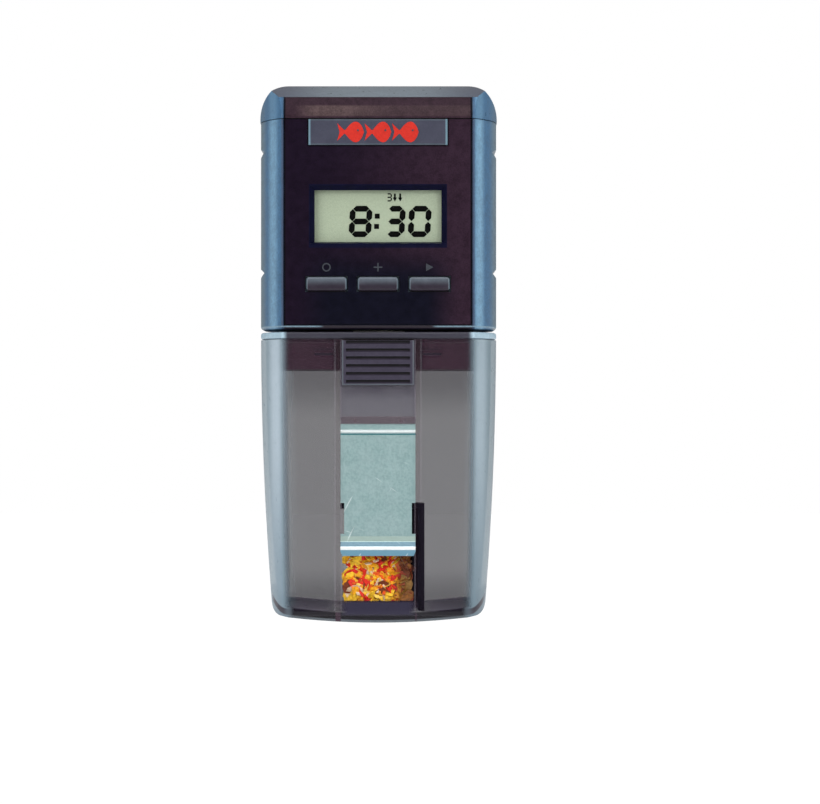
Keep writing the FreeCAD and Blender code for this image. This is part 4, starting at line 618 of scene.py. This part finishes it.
def sheet_finish():
    """Drawn stainless sheet, cool and scratched by use, with painted highlights and painted shade along its
    bead and its finger roll.
    """
    made, tree, shader = new_finish("stainless sheet", Metallic=1.0)
    low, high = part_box("shutter_plate")
    top = high.z - 2.0 * MM
    drawn = use_group(tree, DRAWN, Lines=0.3, Scratches=0.9)
    coordinates = object_place(tree)
    x, y, z = place_of(tree)
    fine = noise(tree, coordinates, 1500.0, 3.0)
    cloud = noise(tree, coordinates, 160.0, 3.0)
    colour = blend_colours(tree, spread(tree, fine, 0.35, 0.65), (0.28, 0.415, 0.42), (0.32, 0.455, 0.455))
    colour = blend_colours(tree, spread(tree, cloud, 0.35, 0.7, 0.0, 0.35), colour, (0.40, 0.52, 0.53))
    # Painted light on the bends: on the finger roll a lighter band where it curves out, a darker band, a
    # white painted highlight and painted shade on the lip that faces down; on the top bead a white painted
    # highlight with a thin dark painted shade below it.
    bands = (
        (low.z + 5.0 * MM, 0.9 * MM, (0.40, 0.52, 0.48)),
        (low.z + 3.5 * MM, 0.75 * MM, (0.14, 0.22, 0.27)),
        (low.z + 2.3 * MM, 0.5 * MM, (0.97, 1.0, 1.0)),
        (low.z + 0.9 * MM, 0.95 * MM, (0.19, 0.38, 0.50)),
        (top - 2.25 * MM, 0.5 * MM, (0.92, 0.96, 0.96)),
        (top - 3.05 * MM, 0.25 * MM, (0.06, 0.20, 0.22)),
    )
    for place, half, tone in bands:
        colour = blend_colours(tree, band(tree, z, place, half), colour, tone)
    colour = blend_colours(tree, overlap(tree, drawn["Mark"], 0.55), colour, (0.8, 0.88, 0.88))
    feed(tree, colour, shader.inputs["Base Color"])
    feed(tree, spread(tree, fine, 0.3, 0.7, 0.4, 0.5), shader.inputs["Roughness"])
    raise_surface(tree, shader, drawn["Height"], DRAWN_BUMP)
    return made


def metal(name, colour, smooth, rough):
    """Plated or machined metal with a slight variation."""
    made, tree, shader = new_finish(name, Metallic=1.0)
    drawn = use_group(tree, DRAWN, Lines=0.5, Scratches=0.4)
    coordinates = object_place(tree)
    cloud = noise(tree, coordinates, 260.0, 4.0)
    darker = tuple(0.75 * c for c in colour)
    shade = blend_colours(tree, spread(tree, cloud, 0.35, 0.65), darker, colour)
    feed(tree, shade, shader.inputs["Base Color"])
    feed(tree, spread(tree, cloud, 0.3, 0.7, smooth, rough), shader.inputs["Roughness"])
    raise_surface(tree, shader, drawn["Height"], DRAWN_BUMP)
    return made


def board_finish():
    """Green solder mask with copper tracks showing through."""
    made, tree, shader = new_finish("circuit board", Specular_IOR_Level=0.6)
    coordinates = object_place(tree)
    upright = {"Rotation": (math.pi / 2, 0.0, 0.0)}
    turned = put(tree, "ShaderNodeMapping", coordinates, named=upright).outputs[0]
    tracks = put(tree, "ShaderNodeTexBrick", turned, named={"Scale": 160.0, "Mortar Size": 0.03})
    line = tracks.outputs["Fac"]
    colour = blend_colours(tree, line, (0.008, 0.06, 0.022), (0.03, 0.13, 0.05))
    feed(tree, colour, shader.inputs["Base Color"])
    speck = noise(tree, coordinates, 300.0)
    feed(tree, spread(tree, speck, 0.3, 0.7, 0.28, 0.4), shader.inputs["Roughness"])
    raise_surface(tree, shader, line, 0.02 * MM)
    return made


def cell_finish():
    """Plain dark sleeve with a copper-coloured shoulder at one end and bare metal at both ends."""
    made, tree, shader = new_finish("cell sleeve", Coat_Weight=0.3)
    low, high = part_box("battery_cells")
    coordinates = object_place(tree)
    x, y, z = place_of(tree)
    share = maths(tree, "DIVIDE", minus(tree, z, low.z), high.z - low.z)
    facing = put(tree, "ShaderNodeMix", maths(tree, "GREATER_THAN", x, 0.0), data_type="FLOAT")
    feed(tree, share, facing.inputs[2])
    feed(tree, minus(tree, 1.0, share), facing.inputs[3])
    up = facing.outputs[0]
    shoulder = spread(tree, up, 0.70, 0.71)
    ends = maths(tree, "MAXIMUM", spread(tree, up, 0.018, 0.012), spread(tree, up, 0.972, 0.976))
    colour = blend_colours(tree, shoulder, (0.012, 0.012, 0.014), (0.55, 0.25, 0.08))
    colour = blend_colours(tree, ends, colour, (0.62, 0.62, 0.6))
    feed(tree, colour, shader.inputs["Base Color"])
    feed(tree, overlap(tree, ends, 0.95), shader.inputs["Metallic"])
    speck = noise(tree, coordinates, 400.0)
    feed(tree, spread(tree, speck, 0.3, 0.7, 0.22, 0.32), shader.inputs["Roughness"])
    return made


def flake_finish():
    """Dried food flakes: each one takes its colour from its own number, and a painted shadow darkens them
    towards the right.
    """
    made, tree, shader = new_finish("dried flakes", Specular_IOR_Level=0.3)
    number = put(tree, "ShaderNodeAttribute", attribute_name="flake_tone").outputs["Fac"]
    ramp = put(tree, "ShaderNodeValToRGB", number)
    pale = (0.80, 0.60, 0.42)
    tones = (
        (0.0, (0.85, 0.36, 0.010)),
        (0.22, (0.92, 0.55, 0.03)),
        (0.40, (0.78, 0.11, 0.010)),
        (0.54, (0.72, 0.025, 0.010)),
        (0.74, (0.92, 0.62, 0.10)),
        (0.85, (0.20, 0.04, 0.012)),
        (0.93, pale),
        (1.0, pale),
    )
    ramp.color_ramp.interpolation = "CONSTANT"
    while len(ramp.color_ramp.elements) < len(tones):
        ramp.color_ramp.elements.new(0.5)
    for element, (spot, colour) in zip(ramp.color_ramp.elements, tones):
        element.position = spot
        element.color = (*colour, 1)
    coordinates = object_place(tree)
    x, y, z = place_of(tree)
    speck = noise(tree, coordinates, 1100.0, 3.0, 0.7)
    # Painted shadow: the flakes darken to brown towards the right of the pocket.
    brown = spread(tree, x, 4 * MM, 7.5 * MM, 0.0, 0.85)
    colour = blend_colours(tree, brown, ramp.outputs[0], (0.13, 0.038, 0.018))
    colour = tinted(tree, colour, spread(tree, speck, 0.3, 0.7, 0.62, 1.1))
    feed(tree, colour, shader.inputs["Base Color"])
    feed(tree, spread(tree, speck, 0.3, 0.7, 0.45, 0.75), shader.inputs["Roughness"])
    raise_surface(tree, shader, speck, 0.08 * MM)
    return made


FINISHES = {
    ("housing_shell",): housing_finish(),
    ("battery_cap",): cap_finish(),
    ("front_fascia", "cap_visor"): panel_finish(),
    ("badge_plate",): badge_finish(),
    ("display_lens",): window_finish(),
    ("lcd_glass",): display_finish(),
    ("button_left", "button_middle", "button_right"): button_finish(),
    ("button_legends",):
        grained("dark relief", (0.026, 0.030, 0.040), 0.1, 0.4, 0.55, Specular_IOR_Level=0.3),
    ("drum_shell",): drum_finish(),
    ("drum_carrier",): carrier_finish(),
    ("dosing_scoop",): scoop_finish(),
    ("slider_strip",): strip_finish(),
    ("thumb_grip",): grip_finish(),
    ("shutter_plate",): sheet_finish(),
    ("circuit_board",): board_finish(),
    ("battery_cells",): cell_finish(),
    ("lcd_connectors",): grained("zebra rubber", (0.35, 0.22, 0.25), 0.3, 0.5, 0.7),
    ("tact_switches", "board_components"): grained("black epoxy", (0.012, 0.012, 0.014), 0.2, 0.35, 0.55),
    ("battery_tray", "gear_plate", "motor_end_cap"):
        grained("black inner plastic", (0.018, 0.018, 0.02), 0.2, 0.4, 0.6),
    ("output_gear", "stage_two_gear", "stage_one_gear", "thrust_washer"):
        grained("natural acetal", (0.72, 0.70, 0.62), 0.06, 0.3, 0.45),
    ("motor_pinion",): metal("machined brass", (0.78, 0.55, 0.24), 0.22, 0.34),
    ("motor_can", "board_screws", "gear_plate_screws"): metal("zinc plate", (0.62, 0.63, 0.66), 0.26, 0.4),
    ("gear_axles", "retaining_clip"): metal("polished steel", (0.7, 0.7, 0.72), 0.14, 0.24),
    ("contact_spring", "contact_tab", "contact_bridge"):
        metal("nickel plate", (0.72, 0.69, 0.62), 0.18, 0.3),
}
for names, finish in FINISHES.items():
    for name in names:
        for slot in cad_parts[name].material_slots:
            slot.material = finish

# ---------------------------------------------------------------------------------------------------------
# Flat shapes: display segments and the badge's mark
# ---------------------------------------------------------------------------------------------------------


def flat_shapes(name, outlines, y, thick, finish, body):
    """Upright flat shapes in the XZ plane at a depth, as one piece with a thickness towards the front."""
    made = bmesh.new()
    for outline in outlines:
        back = [made.verts.new((x, y, z)) for x, z in outline]
        front = [made.verts.new((x, y - thick, z)) for x, z in outline]
        made.faces.new(front)
        made.faces.new(back[::-1])
        for i in range(len(outline)):
            j = (i + 1) % len(outline)
            made.faces.new((back[i], back[j], front[j], front[i]))
    bmesh.ops.recalc_face_normals(made, faces=made.faces)
    mesh = bpy.data.meshes.new(name)
    made.to_mesh(mesh)
    made.free()
    mesh.materials.append(finish)
    piece = bpy.data.objects.new(name, mesh)
    bpy.context.scene.collection.objects.link(piece)
    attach(piece, body)
    return piece


def digit(shown, left, low, wide, tall, bar, lean):
    """The outlines of a seven-segment digit. Segments a to g run from the top round to the middle bar."""
    half, gap = bar / 2, bar * 0.05
    middle = low + tall / 2
    top = low + tall - half
    base = low + half
    x0, x1 = left + half, left + wide - half

    def level(z):
        """A lying segment."""
        return [
            (x0 + gap, z), (x0 + gap + half, z + half), (x1 - gap - half, z + half),
            (x1 - gap, z), (x1 - gap - half, z - half), (x0 + gap + half, z - half),
        ]

    def upright(x, z0, z1):
        """A standing segment."""
        return [
            (x, z0 + gap), (x - half, z0 + gap + half), (x - half, z1 - gap - half),
            (x, z1 - gap), (x + half, z1 - gap - half), (x + half, z0 + gap + half),
        ]

    segments = {
        "a": level(top), "b": upright(x1, middle, top), "c": upright(x1, base, middle), "d": level(base),
        "e": upright(x0, base, middle), "f": upright(x0, middle, top), "g": level(middle),
    }
    return [[(x + lean * (z - low), z) for x, z in segments[s]] for s in shown]


def square(x, z, side):
    """A small upright square."""
    h = side / 2
    return [(x - h, z - h), (x + h, z - h), (x + h, z + h), (x - h, z + h)]


def arrow(x, top, tall, wide):
    """A small arrow pointing down."""
    stem = wide * 0.22
    neck = top - tall * 0.5
    return [(x - stem, top), (x - stem, neck), (x - wide / 2, neck), (x, top - tall), (x + wide / 2, neck),
            (x + stem, neck), (x + stem, top)]


def make_display():
    """The time in large figures, with a small count and two arrows above it."""
    low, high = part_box("lcd_glass")
    ink = grained("segment ink", (0.0006, 0.0008, 0.0006), 0.1, 0.5, 0.6, Specular_IOR_Level=0.05)
    x = high.x - 22.7 * MM
    z = low.z + 3.6 * MM
    tall, wide, bar, lean = 9.4 * MM, 6.8 * MM, 1.75 * MM, 0.06
    dot, arrow_tall, arrow_wide = 1.5 * MM, 2.4 * MM, 1.3 * MM
    shapes = []
    shapes += digit("abcdefg", x - 7.3 * MM, z, wide, tall, bar, lean)
    shapes += digit("abcdg", x + 3.5 * MM, z, wide - 0.8 * MM, tall, bar, lean)
    shapes += digit("abcdef", x + 10.5 * MM, z, wide, tall, bar, lean)
    shapes += [square(x + 1.2 * MM, z + 3.2 * MM, dot), square(x + 1.4 * MM, z + 6.3 * MM, dot)]
    small = z + 10.7 * MM
    shapes += digit("abcdg", x + 4.2 * MM, small, 1.6 * MM, 2.5 * MM, 0.4 * MM, 0.0)
    for side in (6.7 * MM, 8.3 * MM):
        shapes.append(arrow(x + side, small + arrow_tall, arrow_tall, arrow_wide))
    flat_shapes("display_segments", shapes, low.y - 0.01 * MM, 0.05 * MM, ink, "head")


def fish_outline(x, z, length, tall):
    """A plain fish heading right: a leaf-shaped body and a forked tail."""
    nose, waist = x + length / 2, x - length * 0.24
    steps = 14
    upper = []
    for i in range(steps + 1):
        share = i / steps
        upper.append((nose + (waist - nose) * share, z + tall / 2 * math.sin(math.pi * share ** 0.8) ** 0.9))
    upper[-1] = (waist, z + tall * 0.09)
    tail = [(x - length * 0.5, z + tall * 0.42), (x - length * 0.41, z), (x - length * 0.5, z - tall * 0.42)]
    lower = [(px, 2 * z - pz) for px, pz in upper[::-1]][:-1]
    return upper + tail + lower


def make_badge_mark():
    """Three plain red fish in a row, as a mark that belongs to nobody."""
    low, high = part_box("badge_plate")
    red = grained("red mark", (0.46, 0.018, 0.010), 0.08, 0.4, 0.5, Specular_IOR_Level=0.2)
    dark = grained("mark eye", (0.03, 0.03, 0.045), 0.1, 0.3, 0.4)
    middle = (low.z + high.z) / 2
    pitch, eye_place, eye_lift, eye_radius = 8.2, 2.2, 0.5 * MM, 0.32 * MM
    turns = [i * math.pi / 6 for i in range(12)]
    fish = []
    eyes = []
    for spot in (-1, 0, 1):
        fish.append(fish_outline(spot * pitch * MM, middle, 8.0 * MM, 6.2 * MM)[::-1])
        x = (spot * pitch + eye_place) * MM
        z = middle + eye_lift
        eyes.append([(x + eye_radius * math.cos(a), z + eye_radius * math.sin(a)) for a in turns])
    flat_shapes("badge_fish", fish, low.y + 0.02 * MM, 0.10 * MM, red, "head")
    flat_shapes("badge_fish_eyes", eyes, low.y - 0.07 * MM, 0.04 * MM, dark, "head")


make_display()
make_badge_mark()

# ---------------------------------------------------------------------------------------------------------
# Food flakes behind the outlet
# ---------------------------------------------------------------------------------------------------------


def flake_mesh(seed):
    """One crumpled flake, a ragged disc of a few faces with a little thickness."""
    rng = random.Random(seed)
    made = bmesh.new()
    count = 9
    rim = []
    for i in range(count):
        angle = 2 * math.pi * i / count
        radius = rng.uniform(0.32, 0.58)
        x = radius * math.cos(angle)
        y = radius * math.sin(angle)
        rim.append(made.verts.new((x, y, rng.uniform(-0.1, 0.1))))
    heart = made.verts.new((rng.uniform(-0.1, 0.1), rng.uniform(-0.1, 0.1), rng.uniform(-0.12, 0.12)))
    for i in range(count):
        made.faces.new((rim[i], rim[(i + 1) % count], heart))
    walls = bmesh.ops.extrude_face_region(made, geom=list(made.faces))
    for item in walls["geom"]:
        if isinstance(item, bmesh.types.BMVert):
            item.co.z += 0.07
    bmesh.ops.recalc_face_normals(made, faces=made.faces)
    mesh = bpy.data.meshes.new(f"flake_{seed}")
    made.to_mesh(mesh)
    made.free()
    return mesh


def scatter_tree(flakes, finish):
    """Geometry Nodes: flakes scattered over a heap, each with its own turn, size and tone."""
    tree = bpy.data.node_groups.new("scatter flakes", "GeometryNodeTree")
    tree.interface.new_socket("Heap", in_out="INPUT", socket_type="NodeSocketGeometry")
    for label, value in (("Density", 7.0e5), ("Smallest", 0.0036), ("Largest", 0.0056)):
        socket = tree.interface.new_socket(label, in_out="INPUT", socket_type="NodeSocketFloat")
        socket.default_value = value
    tree.interface.new_socket("Flakes", in_out="OUTPUT", socket_type="NodeSocketGeometry")
    enter = put(tree, "NodeGroupInput")
    leave = put(tree, "NodeGroupOutput")
    points = put(tree, "GeometryNodeDistributePointsOnFaces", named={"Mesh": enter.outputs["Heap"]})
    feed(tree, enter.outputs["Density"], points.inputs["Density"])
    points.inputs["Seed"].default_value = 11
    kinds = put(tree, "GeometryNodeJoinGeometry")
    for flake in flakes:
        info = put(tree, "GeometryNodeObjectInfo", named={"Object": flake, "As Instance": True})
        tree.links.new(info.outputs["Geometry"], kinds.inputs[0])
    size = put(tree, "FunctionNodeRandomValue", data_type="FLOAT")
    feed(tree, enter.outputs["Smallest"], size.inputs[2])
    feed(tree, enter.outputs["Largest"], size.inputs[3])
    size.inputs["Seed"].default_value = 3
    turn = put(tree, "FunctionNodeRandomValue", data_type="FLOAT_VECTOR")
    turn.inputs[0].default_value = (-0.4, -0.4, 0.0)
    turn.inputs[1].default_value = (0.4, 0.4, 2 * math.pi)
    turn.inputs["Seed"].default_value = 5
    tilt = put(tree, "FunctionNodeRotateRotation", rotation_space="LOCAL")
    feed(tree, points.outputs["Rotation"], tilt.inputs[0])
    euler = put(tree, "FunctionNodeEulerToRotation", turn.outputs[0])
    feed(tree, euler.outputs[0], tilt.inputs[1])
    sown = put(tree, "GeometryNodeInstanceOnPoints")
    feed(tree, points.outputs["Points"], sown.inputs["Points"])
    feed(tree, kinds.outputs[0], sown.inputs["Instance"])
    sown.inputs["Pick Instance"].default_value = True
    feed(tree, tilt.outputs[0], sown.inputs["Rotation"])
    feed(tree, size.outputs[1], sown.inputs["Scale"])
    tone = put(tree, "FunctionNodeRandomValue", data_type="FLOAT")
    tone.inputs["Seed"].default_value = 8
    kept = put(tree, "GeometryNodeStoreNamedAttribute", data_type="FLOAT", domain="INSTANCE")
    feed(tree, sown.outputs[0], kept.inputs["Geometry"])
    kept.inputs["Name"].default_value = "flake_tone"
    feed(tree, tone.outputs[1], kept.inputs["Value"])
    real = put(tree, "GeometryNodeRealizeInstances")
    feed(tree, kept.outputs[0], real.inputs[0])
    coloured = put(tree, "GeometryNodeSetMaterial")
    feed(tree, real.outputs[0], coloured.inputs["Geometry"])
    coloured.inputs["Material"].default_value = finish
    feed(tree, coloured.outputs[0], leave.inputs[0])
    return tree


def heap_face():
    """The heap's front: upright low down, and leaning back towards its top."""
    plate_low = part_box("shutter_plate")[0].z
    left, right = SCOOP_LOW.x + 2.2 * MM, SCOOP_HIGH.x - 5.0 * MM
    front, lean = SCOOP_LOW.y + 1.6 * MM, 4.23 * MM
    base, top = SCOOP_LOW.z + 3.2 * MM, plate_low + 1.4 * MM
    steps = 12
    made = bmesh.new()
    grid = []
    for i in range(steps + 1):
        x = left + (right - left) * i / steps
        ups = [j / steps for j in range(steps + 1)]
        grid.append([made.verts.new((x, front + lean * up ** 3, base + (top - base) * up)) for up in ups])
    for i in range(steps):
        for j in range(steps):
            made.faces.new((grid[i][j], grid[i + 1][j], grid[i + 1][j + 1], grid[i][j + 1]))
    mesh = bpy.data.meshes.new("heap")
    made.to_mesh(mesh)
    made.free()
    return mesh


def make_heap():
    """A heap of flakes that fills the pocket behind the outlet."""
    heap = bpy.data.objects.new("food_heap", heap_face())
    bpy.context.scene.collection.objects.link(heap)
    flakes = []
    for seed in range(4):
        flake = bpy.data.objects.new(f"flake_{seed}", flake_mesh(seed))
        bpy.context.scene.collection.objects.link(flake)
        flakes.append(flake)
    scatter = heap.modifiers.new("scatter", "NODES")
    scatter.node_group = scatter_tree(flakes, flake_finish())
    graph = bpy.context.evaluated_depsgraph_get()
    result = bpy.data.meshes.new_from_object(heap.evaluated_get(graph), depsgraph=graph)
    heap.modifiers.remove(scatter)
    heap.data = result
    for flake in flakes:
        bpy.data.objects.remove(flake)
    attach(heap, "drum")


make_heap()

# ---------------------------------------------------------------------------------------------------------
# Floor, light and camera
# ---------------------------------------------------------------------------------------------------------

CENTRE = Vector((0.0, -29 * MM, -39 * MM))
FLOOR_Z = -0.30
CAMERA_SPOT = (9.6 * MM, cad_box[0].y - 0.955, -53.4 * MM)


def make_floor():
    """A pale floor that brightens away from the feeder, and that is clear when seen from below."""
    made, tree, shader = new_finish("pale floor", Roughness=0.7)
    along = put(tree, "ShaderNodeVectorMath", object_place(tree), operation="LENGTH").outputs["Value"]
    far = spread(tree, along, 0.25, 0.7)
    feed(tree, far, shader.inputs["Emission Strength"])
    shader.inputs["Emission Color"].default_value = (1, 1, 1, 1)
    colour = blend_colours(tree, far, (0.86, 0.86, 0.86), (0.0, 0.0, 0.0))
    feed(tree, colour, shader.inputs["Base Color"])
    underside = put(tree, "ShaderNodeNewGeometry").outputs["Backfacing"]
    feed(tree, minus(tree, 1.0, underside), shader.inputs["Alpha"])
    mesh = bpy.data.meshes.new("floor")
    side = 6.0
    signs = ((-1, -1), (1, -1), (1, 1), (-1, 1))
    corners = [(across * side, away * side, FLOOR_Z) for across, away in signs]
    mesh.from_pydata(corners, [], [(0, 1, 2, 3)])
    mesh.materials.append(made)
    floor = bpy.data.objects.new("floor", mesh)
    bpy.context.scene.collection.objects.link(floor)


def make_world():
    """White where the camera looks past the feeder, and a soft grey room for everything else."""
    world = bpy.data.worlds.new("studio")
    world.use_nodes = True
    bpy.context.scene.world = world
    tree = world.node_tree
    tree.nodes.clear()
    direction = put(tree, "ShaderNodeTexCoord").outputs["Generated"]
    parts = put(tree, "ShaderNodeSeparateXYZ", direction)
    side = spread(tree, size_of(tree, parts.outputs[0]), 0.1, 0.9, 0.07, 0.36)
    above = spread(tree, parts.outputs[2], -0.2, 0.9, 0.0, 0.34)
    room = maths(tree, "ADD", side, above)
    sight = put(tree, "ShaderNodeLightPath").outputs["Is Camera Ray"]
    strength = put(tree, "ShaderNodeMix", sight, data_type="FLOAT")
    feed(tree, room, strength.inputs[2])
    strength.inputs[3].default_value = 1.0
    shade = put(tree, "ShaderNodeBackground", (1, 1, 1, 1), strength.outputs[0])
    put(tree, "ShaderNodeOutputWorld", shade.outputs[0])


def add_softbox(name, spot, wide, tall, power):
    """A rectangular soft light that faces the feeder."""
    light = bpy.data.lights.new(name, "AREA")
    light.shape = "RECTANGLE"
    light.size = wide
    light.size_y = tall
    light.energy = power
    made = bpy.data.objects.new(name, light)
    made.location = spot
    made.rotation_euler = (CENTRE - Vector(spot)).to_track_quat("-Z", "Y").to_euler()
    made.visible_camera = False
    bpy.context.scene.collection.objects.link(made)


def make_lights():
    """Soft boxes at the left, the right, above and in front."""
    add_softbox("left box", (-0.66, -0.72, 0.05), 0.5, 0.9, 3.6)
    add_softbox("right box", (0.66, -0.72, 0.05), 0.5, 0.9, 3.6)
    add_softbox("top box", (0.0, -0.35, 0.7), 0.8, 0.5, 3.6)
    add_softbox("front box", (0.25, -0.95, 0.45), 0.5, 0.4, 2.0)


def make_camera():
    """A long lens in front, a little right of the feeder's middle and below it, looking straight back."""
    lens = bpy.data.cameras.new("camera")
    lens.lens = 140
    lens.sensor_width = 36
    lens.clip_end = 20
    made = bpy.data.objects.new("camera", lens)
    made.location = CAMERA_SPOT
    made.rotation_euler = (math.pi / 2, 0, 0)
    bpy.context.scene.collection.objects.link(made)
    bpy.context.scene.camera = made


make_floor()
make_world()
make_lights()
make_camera()
bpy.context.scene.view_settings.view_transform = "Standard"
bpy.context.scene.cycles.transparent_max_bounces = 24
